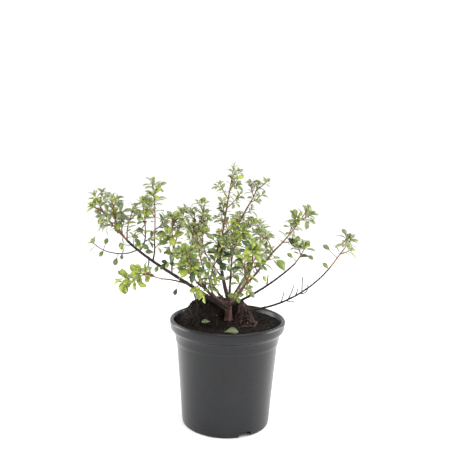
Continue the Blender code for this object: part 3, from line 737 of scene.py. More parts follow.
def grown(name, base, tree, values):
    """The plain mesh object that a tree makes of a base object, which is used up."""
    modifier = base.modifiers.new("growth", "NODES")
    modifier.node_group = tree
    for item in tree.interface.items_tree:
        if item.in_out == "INPUT" and item.name in values:
            modifier[item.identifier] = values[item.name]
    graph = bpy.context.evaluated_depsgraph_get()
    mesh = bpy.data.meshes.new_from_object(base.evaluated_get(graph))
    base.modifiers.clear()
    bpy.data.objects.remove(base)
    return place_mesh(name, mesh)


# Meshes


def place_mesh(name, mesh):
    piece = bpy.data.objects.new(name, mesh)
    bpy.context.scene.collection.objects.link(piece)
    return piece


def object_from(name, shape, finish=None, smooth=True):
    """One object from a bmesh, which is used up."""
    mesh = bpy.data.meshes.new(name)
    for face in shape.faces:
        face.smooth = smooth
    shape.to_mesh(mesh)
    shape.free()
    if finish:
        mesh.materials.append(finish)
    return place_mesh(name, mesh)


def declare(piece, slot, *nodes):
    """Hangs a piece on the root body and hides the solids that it stands for. The slot is not used."""
    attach(piece, "root")
    if nodes:
        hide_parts(*nodes)


def course(start, heading, pitch, length, swing, lift, step):
    """Points along a limb that turns evenly from its foot to its tip."""
    count = max(2, round(length / step))
    points = [Vector(start)]
    for number in range(count):
        part = (number + 0.5) / count
        around = math.radians(heading + swing * part)
        above = math.radians(pitch + lift * part)
        level = math.cos(above)
        way = Vector((math.cos(around) * level, math.sin(around) * level, math.sin(above)))
        points.append(points[-1] + way * (length / count))
    return points


def point_along(points, fraction):
    place = fraction * (len(points) - 1)
    before = min(int(place), len(points) - 2)
    return points[before].lerp(points[before + 1], place - before)


def direction_along(points, fraction):
    before = min(int(fraction * (len(points) - 1)), len(points) - 2)
    return (points[before + 1] - points[before]).normalized()


def leaning(points, fraction, around, lean):
    """A way out from the points, which leans along them and away from them by two shares."""
    way = direction_along(points, fraction)
    side = Quaternion(way, around) @ way.orthogonal().normalized()
    return way * lean[0] + side * lean[1]


def length_of(points):
    return sum((after - before).length for before, after in zip(points, points[1:]))


def smoothed(points, step):
    """A finer course through the same points, on a Catmull-Rom curve."""
    ends = [points[0] * 2 - points[1], *points, points[-1] * 2 - points[-2]]
    finer = []
    for number in range(len(points) - 1):
        before, here, after, later = ends[number : number + 4]
        parts = max(1, round((after - here).length / step))
        for part in range(parts):
            t = part / parts
            finer.append(
                0.5
                * (
                    2 * here
                    + (after - before) * t
                    + (2 * before - 5 * here + 4 * after - later) * t**2
                    + (3 * here - before - 3 * after + later) * t**3
                )
            )
    return [*finer, points[-1]]


def add_limb(shape, points, foot, tip, kind, relief, seed):
    """A closed limb with bark relief, knobs at its old leaf scars and a swollen foot."""
    side = direction_along(points, 0).orthogonal().normalized()
    last = len(points) - 1
    run = 0.0
    rings = []
    for number, place in enumerate(points):
        before = points[max(0, number - 1)]
        after = points[min(last, number + 1)]
        run += (place - before).length
        way = (after - before).normalized()
        side = (side - way * side.dot(way)).normalized()
        radius = foot + (tip - foot) * number / last
        radius *= 1 + kind.swell * math.exp(-run / (SWELL_REACH * foot))
        knob = max(0, math.cos(math.tau * run / kind.knob_gap)) ** KNOB_SHARPNESS
        scar_turn = round(run / kind.knob_gap) * GOLDEN_ANGLE
        ring = []
        for corner in range(kind.sides):
            turn = math.tau * corner / kind.sides
            out = Quaternion(way, turn) @ side
            spot = Vector((math.cos(turn), math.sin(turn), run / (radius * GRAIN_LENGTH)))
            ridge = noise.noise(spot * GRAIN_FINENESS + seed)
            scar = 0.5 + 0.5 * math.cos(turn - scar_turn)
            height = 1 + relief * ridge + KNOB_HEIGHT * relief * knob * scar
            ring.append(shape.verts.new(place + out * radius * height))
        rings.append(ring)
    skin(shape, rings)


def skin(shape, rings):
    """Faces between rings of equal size, with both ends closed."""
    sides = len(rings[0])
    for lower, upper in zip(rings, rings[1:]):
        for here in range(sides):
            after = (here + 1) % sides
            shape.faces.new((lower[here], lower[after], upper[after], upper[here]))
    shape.faces.new(reversed(rings[0]))
    shape.faces.new(rings[-1])


# Pot


def pot_profile():
    """Radius and height of each corner, from the centre of the underside to that of the floor.

    It runs up the outside, over the lip and down the inside. The small numbers round the
    foot, the band and the lip.
    """
    lip_foot = POT_HEIGHT - LIP_DEPTH
    return [
        (0, 0),
        (UNDERSIDE_RADIUS - 0.001, 0),
        (UNDERSIDE_RADIUS + 0.0006, 0.0004),
        (BODY_FOOT_RADIUS - 0.0004, 0.0018),
        (BODY_FOOT_RADIUS + 0.0001, 0.0045),
        (BODY_TOP_RADIUS - 0.0003, BAND_FOOT_HEIGHT - 0.0050),
        (BODY_TOP_RADIUS + 0.0001, BAND_FOOT_HEIGHT - 0.0032),
        (BAND_FOOT_RADIUS - 0.0006, BAND_FOOT_HEIGHT - 0.0009),
        (BAND_FOOT_RADIUS, BAND_FOOT_HEIGHT + 0.0004),
        (BAND_FOOT_RADIUS + 0.0001, BAND_FOOT_HEIGHT + 0.0022),
        (BAND_TOP_RADIUS - 0.0001, lip_foot - 0.0050),
        (BAND_TOP_RADIUS + 0.0012, lip_foot - 0.0028),
        (LIP_RADIUS - 0.0048, lip_foot - 0.0012),
        (LIP_RADIUS - 0.0026, lip_foot + 0.0001),
        (LIP_RADIUS - 0.0014, lip_foot + 0.0018),
        (LIP_RADIUS - 0.0010, lip_foot + 0.0045),
        (LIP_RADIUS - 0.0002, POT_HEIGHT - 0.0040),
        (LIP_RADIUS - 0.0003, POT_HEIGHT - 0.0022),
        (LIP_RADIUS - 0.0011, POT_HEIGHT - 0.0008),
        (LIP_RADIUS - 0.0024, POT_HEIGHT - 0.0001),
        (LIP_RADIUS - 0.0038, POT_HEIGHT - 0.0002),
        (LIP_INNER_RADIUS + 0.0004, POT_HEIGHT - 0.0006),
        (LIP_INNER_RADIUS - 0.001, POT_HEIGHT - 0.002),
        (BODY_TOP_RADIUS - WALL, BAND_FOOT_HEIGHT),
        (BODY_FOOT_RADIUS - WALL, FLOOR),
        (0, FLOOR),
    ]


def notch_cutter(heading, width, height, depth):
    """A block across the corner of wall and floor, narrower at its top, with its top eased."""
    shape = bmesh.new()
    bmesh.ops.create_cube(shape, size=1)
    for corner in shape.verts:
        high = corner.co.z > 0
        corner.co.x *= 2 * depth
        corner.co.y *= width * (NOTCH_TAPER if high else 1)
        corner.co.z = height if high else -height
    top_edges = []
    for edge in shape.edges:
        first, second = (corner.co for corner in edge.verts)
        if first.z > 0 and second.z > 0 and abs(first.y - second.y) < MERGE_GAP:
            top_edges.append(edge)
    bmesh.ops.bevel(
        shape, geom=top_edges, offset=height * NOTCH_ROUNDING, segments=NOTCH_ROUNDING_STEPS,
        profile=0.5, affect="EDGES",
    )
    turn = math.radians(heading)
    place = Vector((math.cos(turn), math.sin(turn), 0)) * BODY_FOOT_RADIUS
    shape.transform(Matrix.Translation(place) @ Matrix.Rotation(turn, 4, "Z"))
    bmesh.ops.recalc_face_normals(shape, faces=shape.faces)
    return object_from("notch_cutter", shape)


def cut_away(piece, cutter):
    """Takes the cutter out of the piece. The cutter is used up."""
    cut = piece.modifiers.new("notch", "BOOLEAN")
    cut.operation = "DIFFERENCE"
    cut.object = cutter
    cut.solver = "EXACT"
    graph = bpy.context.evaluated_depsgraph_get()
    mesh = bpy.data.meshes.new_from_object(piece.evaluated_get(graph))
    piece.modifiers.clear()
    piece.data = mesh
    bpy.data.objects.remove(cutter)


class MakePot(bpy.types.Operator):
    """Turns the pot, cuts its drain notches and finishes it as satin moulded plastic"""

    bl_idname = "escallonia.make_pot"
    bl_label = "Make the pot"

    def execute(self, context):
        shape = bmesh.new()
        points = [shape.verts.new((radius, 0, height)) for radius, height in pot_profile()]
        edges = [shape.edges.new(pair) for pair in zip(points, points[1:])]
        bmesh.ops.spin(
            shape, geom=points + edges, cent=(0, 0, 0), axis=UP, angle=math.tau,
            steps=POT_SEGMENTS, use_duplicate=False,
        )
        bmesh.ops.remove_doubles(shape, verts=shape.verts, dist=MERGE_GAP)
        bmesh.ops.recalc_face_normals(shape, faces=shape.faces)
        colour = tuple(context.scene.plant_colours.plastic)
        pot = object_from("pot_shell", shape, plastic_finish("pot_plastic", colour))
        for number in range(NOTCHES):
            for heading, width, height, depth in (WIDE_NOTCH, NARROW_NOTCH):
                cut_away(pot, notch_cutter(heading + 360 / NOTCHES * number, width, height, depth))
        pot.data.shade_smooth()
        pot.data.set_sharp_from_angle(angle=math.radians(SHARP_EDGE))
        declare(pot, "pot_plastic", "pot")
        return {"FINISHED"}


# Soil


def crumb_shape(seed):
    """An angular crumb about 1 across."""
    shape = bmesh.new()
    bmesh.ops.create_icosphere(shape, subdivisions=1, radius=0.5)
    chance = Random(seed)
    for corner in shape.verts:
        corner.co *= chance.uniform(*CRUMB_RAGGEDNESS)
        corner.co.z *= CRUMB_FLATNESS
    return object_from("crumb", shape, smooth=False)


def scatter_tree(finish):
    """Strews crumbs over a surface, each turned and sized at random, most of them small."""
    inputs = [("Density", "Float"), ("Largest", "Float"), ("Crumb", "Object"), ("Seed", "Int")]
    tree, start = geometry_tree("scatter", inputs)
    given = start.outputs
    spread = add_node(
        tree, "GeometryNodeDistributePointsOnFaces", {"distribute_method": "RANDOM"},
        {"Mesh": given["Geometry"], "Density": given["Density"], "Seed": given["Seed"]},
    )
    form = add_node(tree, "GeometryNodeObjectInfo", {}, {"Object": given["Crumb"]}, "Geometry")
    turn = add_node(
        tree, "FunctionNodeRandomValue", {"data_type": "FLOAT_VECTOR"},
        {"Max": (math.tau, math.tau, math.tau), "Seed": given["Seed"]},
    )
    chance = add_node(
        tree, "FunctionNodeRandomValue", {"data_type": "FLOAT"},
        {"Min": 0.0, "Max": 1.0, "Seed": CRUMB_SIZE_SEED},
    )
    size = Value(tree, chance) ** CRUMB_RARITY * given["Largest"] + LEAST_CRUMB
    strewn = add_node(
        tree, "GeometryNodeInstanceOnPoints", {},
        {"Points": spread, "Instance": form, "Rotation": turn, "Scale": size},
    )
    finish_tree(tree, strewn, finish)
    return tree


def strew(name, ground, density, size, finish, seed):
    """Crumbs over the soil's top alone."""
    shape = bmesh.new()
    shape.from_mesh(ground.data)
    bare = [
        face for face in shape.faces
        if face.calc_center_median().z < SOIL_EDGE or face.normal.z < LEAST_SLOPE
    ]
    bmesh.ops.delete(shape, geom=bare, context="FACES")
    crumb = crumb_shape(seed)
    values = {"Density": density, "Largest": size, "Crumb": crumb, "Seed": seed}
    strewn = grown(name, object_from("top", shape), scatter_tree(finish), values)
    bpy.data.objects.remove(crumb)
    declare(strewn, "peat")


def clamped(value):
    return min(1, max(0, value))


def soil_surface():
    """A finer copy of the soil's solid, with its top broken up into clods."""
    clod = bpy.context.scene.plant_sizes.clod
    shape = bmesh.new()
    shape.from_mesh(frame["nodes"]["soil"].data)
    bmesh.ops.remove_doubles(shape, verts=shape.verts, dist=MERGE_GAP)
    for cuts in SOIL_CUTS:
        top = [edge for edge in shape.edges if all(end.co.z > SOIL_EDGE for end in edge.verts)]
        bmesh.ops.subdivide_edges(shape, edges=top, cuts=cuts, use_grid_fill=True)
        bmesh.ops.triangulate(shape, faces=[face for face in shape.faces if len(face.verts) > 3])
    top = [corner for corner in shape.verts if corner.co.z > SOIL_EDGE]
    rim = max(corner.co.xy.length for corner in top)
    for corner in top:
        place = corner.co.copy()
        near_wall = clamped((rim - place.xy.length) / WALL_FADE)
        off_stem = clamped(((place.xy - STEM_FOOT.xy).length - STEM_CLEARANCE) / STEM_FADE)
        rough = sum(height * noise.noise(place * fineness) for height, fineness in CLOD_SIZES)
        steep = 1 + BALL_ROUGHNESS * clamped((place.z - BALL_FOOT) / BALL_RISE)
        corner.co.z += 0.5 * clod * rough * near_wall * off_stem * steep
        corner.co.z -= SETTLING * near_wall
    return shape


def height_on(ground, x, y):
    hit, place, _, _ = ground.ray_cast(Vector((x, y, ABOVE_SOIL)), -UP)
    return place.z if hit else SOIL_EDGE


def make_roots(ground):
    """Rope-like roots that wind over the root ball's right side and run out over the peat."""
    chance = Random("roots")
    shape = bmesh.new()
    bpy.context.view_layer.update()
    for number in range(ROOTS):
        reach = chance.uniform(*ROOT_REACHES)
        begin = chance.uniform(*ROOT_STARTS)
        sweep = chance.uniform(*ROOT_SWEEPS)
        wander = chance.uniform(*ROOT_WANDERS)
        points = []
        for step in range(ROOT_POINTS):
            part = step / (ROOT_POINTS - 1)
            angle = math.radians(begin + sweep * part)
            bend = wander * math.sin(part * ROOT_BENDS + number * ROOT_PHASE)
            radius = reach + ROOT_SPREAD * part + bend
            x = STEM_FOOT.x + ROOT_SHIFT + radius * math.cos(angle)
            y = STEM_FOOT.y + ROOT_SHIFT + ROOT_FLATNESS * radius * math.sin(angle)
            hump = ROOT_HUMP * math.sin(part * ROOT_HUMPS + number)
            points.append(Vector((x, y, height_on(ground, x, y) + hump)))
        thick = chance.uniform(*ROOT_RADII)
        points = smoothed(points, ROOT_KIND.ring_gap)
        seed = Vector((number, 3, 5))
        add_limb(shape, points, thick, thick * ROOT_TAPER, ROOT_KIND, ROOT_RELIEF, seed)
    finish = bark_finish("root_bark", ROOT_BARK, ROOT_SCARS)
    declare(object_from("soil_roots", shape, finish), "peat")


class MakeSoil(bpy.types.Operator):
    """Breaks up the soil's top, strews crumbs and white grains on it and lays roots on its ball"""

    bl_idname = "escallonia.make_soil"
    bl_label = "Make the soil"

    def execute(self, context):
        sizes = context.scene.plant_sizes
        density, size = sizes.crumb_density, sizes.crumb
        peat = peat_finish("peat", tuple(context.scene.plant_colours.peat))
        white = grain_finish("white_grain", (0.62, 0.60, 0.55), 0.9)
        ground = object_from("soil_ground", soil_surface(), peat)
        declare(ground, "peat", "soil")
        strew("soil_crumbs", ground, density, size, peat, CRUMB_SEED)
        density *= WHITE_GRAIN_SHARE
        size *= WHITE_GRAIN_SIZE
        strew("soil_grains", ground, density, size, white, WHITE_GRAIN_SEED)
        make_roots(ground)
        return {"FINISHED"}


# Wood


def course_of(limb, start, step):
    """The course of a bough, a bare twig or the main shoot of a mass."""
    return course(start, limb.heading, limb.pitch, limb.length, limb.swing, limb.lift, step)


def bough_courses():
    """The course of every bough. Each starts inside the limb that it grows from."""
    courses = {"stem": [STEM_FOOT, STEM_FOOT.lerp(STEM_TOP, 0.5), STEM_TOP]}
    for bough in BOUGHS:
        start = SOIL_FEET.get(bough.parent) or point_along(courses[bough.parent], bough.at)
        courses[bough.name] = course_of(bough, start, COURSE_STEP)
    return courses


def shoot_courses(boughs):
    """The course of the main shoot of every mass, from the tip of its bough."""
    return {
        foliage.name: course_of(foliage, boughs[foliage.bough][-1], SHOOT_STEP)
        for foliage in FOLIAGE
    }


def stem_shape(relief):
    """The stem with its lobed flare, its grain twisting as it rises."""
    shape = bmesh.new()
    length = STEM_TOP.z - STEM_FOOT.z
    rings = []
    for number in range(STEM_RINGS + 1):
        part = number / STEM_RINGS
        centre = STEM_FOOT.lerp(STEM_TOP, part)
        flare = STEM_FLARE * math.exp(-part * length / STEM_FLARE_LENGTH)
        neck = 1 - STEM_NARROWING * max(0, (part - (1 - STEM_NECK)) / STEM_NECK) ** 2
        ring = []
        for side in range(STEM_SIDES):
            angle = math.tau * side / STEM_SIDES
            lobe = 1 - STEM_LOBE_DEPTH + STEM_LOBE_DEPTH * math.cos(STEM_LOBES * angle)
            twist = angle + STEM_TWIST * part
            grain = 0
            for strength, around, along in STEM_GRAINS:
                spot = Vector((math.cos(twist) * around, math.sin(twist) * around, part * along))
                grain += strength * noise.noise(spot)
            radius = (STEM_RADIUS + flare * lobe) * neck * (1 + relief * grain)
            out = Vector((math.cos(angle), math.sin(angle), 0))
            ring.append(shape.verts.new(centre + radius * out))
        rings.append(ring)
    skin(shape, rings)
    return shape


class MakeWood(bpy.types.Operator):
    """Gives the stem and the boughs their bark, with scars and swollen joints"""

    bl_idname = "escallonia.make_wood"
    bl_label = "Make the stem and boughs"

    def execute(self, context):
        relief = context.scene.plant_sizes.bark_relief
        old = tuple(context.scene.plant_colours.old_bark)
        bark = bark_finish("old_bark", old, shade(old, OLD_SCARS))
        pale_bark = bark_finish("pale_bark", shade(old, PALE_BARK), shade(old, PALE_SCARS))
        stem_bark = bark_finish("stem_bark", STEM_BARK, STEM_SCARS)
        declare(object_from("stem_wood", stem_shape(relief), stem_bark), "bark", "main_stem")
        courses = bough_courses()
        for bough in BOUGHS:
            shape = bmesh.new()
            points = smoothed(courses[bough.name], BOUGH_KIND.ring_gap)
            seed = Vector((len(bough.name), bough.length * 100, bough.pitch))
            add_limb(shape, points, bough.foot, bough.tip, BOUGH_KIND, relief, seed)
            finish = pale_bark if bough.name in PALE_BOUGHS else bark
            declare(object_from(f"{bough.name}_wood", shape, finish), "bark", f"bough_{bough.name}")
        declare(object_from("bare_twigs", self.bare_twigs(courses, relief), bark), "bark")
        return {"FINISHED"}

    def bare_twigs(self, courses, relief):
        shape = bmesh.new()
        for number, twig in enumerate(BARE_TWIGS):
            start = point_along(courses[twig.bough], twig.at)
            points = course_of(twig, start, BARE_TWIG_STEP)
            seed = Vector((number, 1, 2))
            add_limb(shape, points, BARE_TWIG_FOOT, BARE_TWIG_TIP, BARE_TWIG_KIND, relief, seed)
        return shape


# Foliage


def rising(start, out, length, step):
    """A twig that bends up as it grows."""
    steps = max(2, round(length / step))
    places = [start]
    for _ in range(steps):
        places.append(places[-1] + out * (length / steps))
        out = (out + Vector((0, 0, TWIG_RISE / steps))).normalized()
    return places


def side_twigs(foliage, points):
    """The courses of the side twigs, by the same draws as in the solids."""
    chance = Random(foliage.name)
    around = chance.uniform(0, math.tau)
    courses = []
    for number in range(foliage.twigs):
        part = foliage.bare + (LAST_TWIG - foliage.bare) * (number + 0.5) / foliage.twigs
        around += GOLDEN_ANGLE
        spread = math.radians(chance.uniform(*TWIG_SPREAD))
        out = leaning(points, part, around, (math.cos(spread), math.sin(spread)))
        length = foliage.reach * (1 - TWIG_SHORTENING * part) * chance.uniform(*TWIG_SIZES)
        courses.append(rising(point_along(points, part), out, length, TWIG_STEP))
    return courses


def twig_spurs(foliage, twigs):
    """Short spurs on the side twigs, within the reach of the mass."""
    chance = Random(foliage.name + " spurs")
    found = []
    for points in twigs:
        for part in TWIG_SPUR_PLACES:
            if chance.random() < MISSING_TWIG_SPURS:
                continue
            out = leaning(points, part, chance.uniform(0, math.tau), TWIG_SPUR_LEAN).normalized()
            length = foliage.reach * chance.uniform(*TWIG_SPUR_LENGTHS)
            found.append(rising(point_along(points, part), out, length, TWIG_SPUR_STEP))
    return found


def bough_spurs(bough, points):
    """Short spurs along the outer part of a bough."""
    chance = Random(bough.name + " spurs")
    first = LATE_SPURS.get(bough.name, FIRST_SPUR)
    count = round(bough.length * (1 - first) / SPUR_GAP)
    found = []
    for number in range(count):
        part = first + (LAST_SPUR - first) * (number + chance.random()) / count
        out = leaning(points, part, number * GOLDEN_ANGLE, SPUR_LEAN).normalized()
        length = chance.uniform(*SPUR_LENGTHS)
        found.append(rising(point_along(points, part), out, length, SPUR_STEP))
    return found


Leaf = namedtuple("Leaf", "place turn size tint")


def leaf_at(place, out, facing, length, width, tint):
    """A leaf that grows from a place along out, with its upper side towards facing."""
    across = facing.cross(out).normalized()
    upper = out.cross(across).normalized()
    turn = Matrix((out, across, upper)).transposed().to_euler()
    return Leaf(place, Vector(turn), Vector((length, width, length)), tint)


def spray_leaves(points, bare, tone, chance, crowded, share):
    """The leaves of one shoot: a spiral along it, then a rosette at its tip."""
    sizes = bpy.context.scene.plant_sizes
    is_open = tone == "lime"
    spacing = sizes.leaf_spacing * share * (OPEN_SPACING if is_open else 1)
    along = max(1, round(length_of(points) * (1 - bare) / spacing))
    rosette = sizes.rosette - (0 if crowded else FEWER_LEAVES) - (FEWER_LEAVES if is_open else 0)
    around = chance.uniform(0, math.tau)
    tints = chance.choices(TINTS, TONES[tone], k=TINTS_IN_SPRAY)
    found = []
    for number in range(along + rosette):
        around += GOLDEN_ANGLE + chance.uniform(-GOLDEN_ANGLE_PLAY, GOLDEN_ANGLE_PLAY)
        if number < along:
            part = bare + (LAST_LEAF - bare) * (number + LEAF_OFFSET) / along
            opening = LEAF_OPENING - LEAF_CLOSING * part + chance.uniform(-LEAF_PLAY, LEAF_PLAY)
            length = sizes.leaf_length * share * chance.uniform(*LEAF_SIZES)
            tint = chance.choice(tints)
            if chance.random() < MISSING_LEAVES:
                continue
        else:
            inner = (number - along) / max(1, rosette - 1)
            part = LAST_LEAF + ROSETTE_REACH * inner
            opening = ROSETTE_OPENING - ROSETTE_CLOSING * inner
            opening += chance.uniform(-ROSETTE_PLAY, ROSETTE_PLAY)
            length = sizes.leaf_length * share * (ROSETTE_LENGTH - ROSETTE_SHORTENING * inner)
            length *= chance.uniform(*ROSETTE_SIZES)
            tint = "lime" if inner > YOUNG_FROM or chance.random() < YOUNG_CHANCE else tints[0]
        opened = math.radians(opening)
        out = leaning(points, part, around, (math.cos(opened), math.sin(opened))).normalized()
        out = (out - UP * chance.uniform(*LEAF_DROOP)).normalized()
        width = length * chance.uniform(*LEAF_WIDTHS)
        facing = (direction_along(points, part) + UP * SKYWARD).normalized()
        found.append(leaf_at(point_along(points, part), out, facing, length, width, tint))
    return found


def lone_leaves(limbs, wood, relief):
    """The leaves of the table, each on the limb itself or on a thin twig from it."""
    found = []
    for number, leaf in enumerate(LONE_LEAVES):
        start = point_along(limbs[leaf.limb], leaf.at)
        away = Vector(leaf.away) / 1000
        length = leaf.length / 1000
        out = away.normalized()
        base = start + away - out * length * BLADE_MIDDLE
        if (base - start).dot(out) < LEAST_STALK:
            base = start
        else:
            bend = start.lerp(base, 0.5) - UP * STALK_BEND
            seed = Vector((number, 5, 1))
            add_limb(wood, [start, bend, base], STALK_FOOT, STALK_TIP, SPUR_KIND, relief, seed)
        width = length * (BROAD_LEAF_WIDTH if leaf.length > BROAD_LEAF_LENGTH else LONE_LEAF_WIDTH)
        found.append(leaf_at(base, out, LONE_LEAF_FACING, length, width, leaf.tint))
    return found


def fallen_leaves():
    found = []
    for leaf in FALLEN_LEAVES:
        turn = math.radians(leaf.heading)
        out = Vector((math.cos(turn), math.sin(turn), FALLEN_LEAF_RISE)).normalized()
        facing, tint = FALLEN_LEAF_FACING, FALLEN_LEAF_TINT
        found.append(leaf_at(leaf.place, out, facing, leaf.length, leaf.width, tint))
    return found


def leaf_blade():
    """A leaf 1 long on +X: a stalk, then a keeled and curved obovate blade with its underside."""
    ratio = bpy.context.scene.plant_sizes.leaf_width
    shape = bmesh.new()
    marks = shape.faces.layers.bool.new("underside")
    skew = math.log(0.5) / math.log(WIDEST)
    upper, lower = [], []
    for place in LEAF_ROWS:
        blade = max(0, (place - STALK_SHARE) / (1 - STALK_SHARE))
        half = 0.5 * ratio * max(0, math.sin(math.pi * blade**skew)) ** LEAF_FULLNESS
        half = max(half, STALK_HALF_WIDTH if place < STALK_END else 0)
        sag = -LEAF_SAG * place**2 + LEAF_ARCH * math.sin(math.pi * place)
        edge = sag + LEAF_KEEL * half
        corners = ((place, -half, edge), (place, 0, sag), (place, half, edge))
        left, middle, right = (shape.verts.new(corner) for corner in corners)
        upper.append((left, middle, right))
        lower.append((left, shape.verts.new((place, 0, sag - LEAF_THICKNESS)), right))
    for level, is_underside in ((upper, False), (lower, True)):
        for near, far in zip(level, level[1:]):
            for here in (0, 1):
                corners = [near[here], far[here], far[here + 1], near[here + 1]]
                if is_underside:
                    corners.reverse()
                shape.faces.new(corners)[marks] = is_underside
    for end in (0, -1):
        for first, second in ((0, 1), (1, 2)):
            shape.faces.new((upper[end][first], upper[end][second], lower[end][1]))
    bmesh.ops.remove_doubles(shape, verts=shape.verts, dist=10 * MERGE_GAP)
    bmesh.ops.recalc_face_normals(shape, faces=shape.faces)
    return object_from("leaf_blade", shape)


def leaf_tree(finish, underside):
    """Puts a leaf on every point, turned and sized by the point's own attributes."""
    tree, start = geometry_tree("leaves", [("Blade", "Object"), ("Growth", "Float")])
    given = start.outputs
    blade = add_node(tree, "GeometryNodeObjectInfo", {}, {"Object": given["Blade"]}, "Geometry")
    turn = attribute(tree, "turn", "FLOAT_VECTOR")
    turn = add_node(tree, "FunctionNodeEulerToRotation", {}, {"Euler": turn})
    size = {"Vector": attribute(tree, "size", "FLOAT_VECTOR"), "Scale": given["Growth"]}
    size = add_node(tree, "ShaderNodeVectorMath", {"operation": "SCALE"}, size)
    leaves = add_node(
        tree, "GeometryNodeInstanceOnPoints", {},
        {"Points": given["Geometry"], "Instance": blade, "Rotation": turn, "Scale": size},
    )
    finish_tree(tree, leaves, finish, underside)
    return tree


def leaf_points(name, leaves):
    """A mesh of one point for each leaf, with its turn and its size as attributes."""
    mesh = bpy.data.meshes.new(name)
    mesh.from_pydata([leaf.place for leaf in leaves], [], [])
    for label in ("turn", "size"):
        numbers = [part for leaf in leaves for part in getattr(leaf, label)]
        mesh.attributes.new(label, "FLOAT_VECTOR", "POINT").data.foreach_set("vector", numbers)
    return place_mesh(name, mesh)


class MakeFoliage(bpy.types.Operator):
    """Grows the shoots, twigs and leaves of every mass from the tips of the boughs"""

    bl_idname = "escallonia.make_foliage"
    bl_label = "Make the foliage"

    def execute(self, context):
        relief = context.scene.plant_sizes.bark_relief
        colours = context.scene.plant_colours
        boughs = bough_courses()
        shoots = shoot_courses(boughs)
        limbs = {**boughs, **{f"shoot {name}": points for name, points in shoots.items()}}
        wood = bmesh.new()
        leaves = fallen_leaves() + lone_leaves(limbs, wood, relief)
        for bough in BOUGHS:
            if bough.name not in BARE_BOUGHS:
                leaves += self.grow_on_bough(wood, bough, boughs[bough.name], relief)
        for foliage in FOLIAGE:
            leaves += self.grow_mass(wood, foliage, shoots[foliage.name], relief)
        young = tuple(colours.young_bark)
        bark = bark_finish("young_bark", young, shade(young, YOUNG_SCARS))
        declare(object_from("foliage_twigs", wood, bark), "foliage")
        self.place_leaves(leaves, colours)
        return {"FINISHED"}

    def grow_on_bough(self, wood, bough, points, relief):
        """Adds the spurs of a bough to the wood, and gives back their leaves."""
        chance = Random(bough.name + " leaves")
        leaves = []
        for spur in bough_spurs(bough, points):
            add_limb(wood, spur, SPUR_FOOT, SPUR_TIP, SPUR_KIND, relief, UP)
            tone = chance.choice(SPUR_TONES)
            leaves += spray_leaves(spur, SPUR_BARE, tone, chance, False, SPUR_LEAF_SHARE)
        return leaves

    def grow_mass(self, wood, foliage, points, relief):
        """Adds the shoot, twigs and spurs of a mass to the wood, and gives back its leaves."""
        tone = foliage.tone
        share = SMALL_LEAVES.get(foliage.name, 1.0)
        seed = Vector((len(foliage.name), foliage.pitch, 7))
        chance = Random(foliage.name + " sprays")
        young_relief = relief * YOUNG_RELIEF
        shoot = smoothed(points, SHOOT_KIND.ring_gap)
        add_limb(wood, shoot, foliage.foot, SHOOT_TIP, SHOOT_KIND, young_relief, seed)
        leaves = spray_leaves(shoot, foliage.bare, tone, chance, True, share)
        twigs = side_twigs(foliage, points)
        for twig_course in twigs:
            twig = smoothed(twig_course, TWIG_KIND.ring_gap)
            add_limb(wood, twig, TWIG_RADIUS, TWIG_TIP, TWIG_KIND, young_relief, seed)
            leaves += spray_leaves(twig, TWIG_BARE, tone, chance, False, share)
        for spur in twig_spurs(foliage, twigs):
            add_limb(wood, spur, TWIG_SPUR_FOOT, SPUR_TIP, SPUR_KIND, relief, seed)
            leaves += spray_leaves(spur, TWIG_SPUR_BARE, tone, chance, False, share)
        return leaves

    def place_leaves(self, leaves, colours):
        """One piece for each tint. The first stands for the solids of all the masses."""
        blade = leaf_blade()
        masses = [f"foliage_{foliage.name}" for foliage in FOLIAGE]
        pale = tuple(colours.underside)
        underside = leaf_finish("leaf_underside", pale, UNDERSIDE_ROUGHNESS)
        for tint in TINTS:
            points = leaf_points(f"points_{tint}", [leaf for leaf in leaves if leaf.tint == tint])
            finish = leaf_finish(f"leaf_{tint}", tuple(getattr(colours, tint)), LEAF_ROUGHNESS)
            values = {"Blade": blade, "Growth": 1.0}
            piece = grown(f"leaves_{tint}", points, leaf_tree(finish, underside), values)
            declare(piece, "foliage", *(masses if tint == TINTS[0] else ()))
        bpy.data.objects.remove(blade)


# Stage


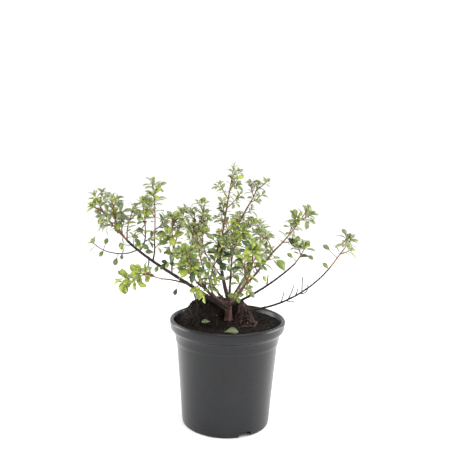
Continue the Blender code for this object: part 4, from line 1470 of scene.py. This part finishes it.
class MakeStage(bpy.types.Operator):
    """Sets the plant on a plain white floor in soft light, seen by the camera from the front"""

    bl_idname = "escallonia.make_stage"
    bl_label = "Set the stage"

    def execute(self, context):
        scene = context.scene
        scene.view_settings.view_transform = "Standard"
        shape = bmesh.new()
        bmesh.ops.create_grid(shape, x_segments=1, y_segments=1, size=FLOOR_HALF_WIDTH)
        object_from("floor", shape, self.floor_finish(), smooth=False)
        scene.world = bpy.data.worlds.new("studio")
        scene.world.use_nodes = True
        background = scene.world.node_tree.nodes["Background"]
        background.inputs["Color"].default_value = (1, 1, 1, 1)
        background.inputs["Strength"].default_value = WORLD_STRENGTH
        for name, (place, size, power) in SOFTBOXES.items():
            self.softbox(name, place, size, power)
        self.camera(scene)
        return {"FINISHED"}

    def floor_finish(self):
        finish = bpy.data.materials.new("floor")
        finish.use_nodes = True
        shader = finish.node_tree.nodes["Principled BSDF"]
        shader.inputs["Base Color"].default_value = FLOOR_WHITE
        shader.inputs["Roughness"].default_value = FLOOR_ROUGHNESS
        return finish

    def softbox(self, name, place, size, power):
        light = bpy.data.lights.new(name, "AREA")
        light.size = size
        light.energy = power
        lamp = bpy.data.objects.new(name, light)
        bpy.context.scene.collection.objects.link(lamp)
        lamp.location = place
        lamp.rotation_euler = (LIGHT_AIM - place).to_track_quat("-Z", "Y").to_euler()

    def camera(self, scene):
        lens = bpy.data.cameras.new("camera")
        lens.sensor_width = SENSOR
        lens.lens = SENSOR * FOCAL_PIXELS / PICTURE_PIXELS
        lens.clip_start = NEAR_CLIP
        camera = bpy.data.objects.new("camera", lens)
        scene.collection.objects.link(camera)
        camera.matrix_world = (
            Matrix.Translation(CAMERA_PLACE)
            @ Matrix.Rotation(math.radians(CAMERA_TURN), 4, "Z")
            @ Matrix.Rotation(math.radians(90 + CAMERA_PITCH), 4, "X")
            @ Matrix.Rotation(math.radians(CAMERA_ROLL), 4, "Z")
        )
        scene.camera = camera


class EscalloniaPanel(bpy.types.Panel):
    """Lists the steps that build the plant and the sizes and colours that they read"""

    bl_idname = "VIEW3D_PT_escallonia"
    bl_label = "Potted escallonia"
    bl_space_type = "VIEW_3D"
    bl_region_type = "UI"
    bl_category = "Escallonia"

    def draw(self, context):
        for operator in OPERATORS:
            self.layout.operator(operator.bl_idname)
        for settings in (context.scene.plant_sizes, context.scene.plant_colours):
            for name in settings.__annotations__:
                self.layout.prop(settings, name)


OPERATORS = (MakeStage, MakePot, MakeSoil, MakeWood, MakeFoliage)
CLASSES = (PlantSizes, PlantColours, *OPERATORS, EscalloniaPanel)


def register():
    for each in CLASSES:
        bpy.utils.register_class(each)
    bpy.types.Scene.plant_sizes = PointerProperty(type=PlantSizes)
    bpy.types.Scene.plant_colours = PointerProperty(type=PlantColours)


def unregister():
    del bpy.types.Scene.plant_sizes
    del bpy.types.Scene.plant_colours
    for each in reversed(CLASSES):
        bpy.utils.unregister_class(each)


def clear_start_objects():
    for name in ("Cube", "Light", "Camera"):
        if name in bpy.data.objects:
            bpy.data.objects.remove(bpy.data.objects[name])


def main():
    register()
    clear_start_objects()
    bpy.ops.escallonia.make_stage()
    bpy.ops.escallonia.make_pot()
    bpy.ops.escallonia.make_soil()
    bpy.ops.escallonia.make_wood()
    bpy.ops.escallonia.make_foliage()


if __name__ == "__main__":
    main()
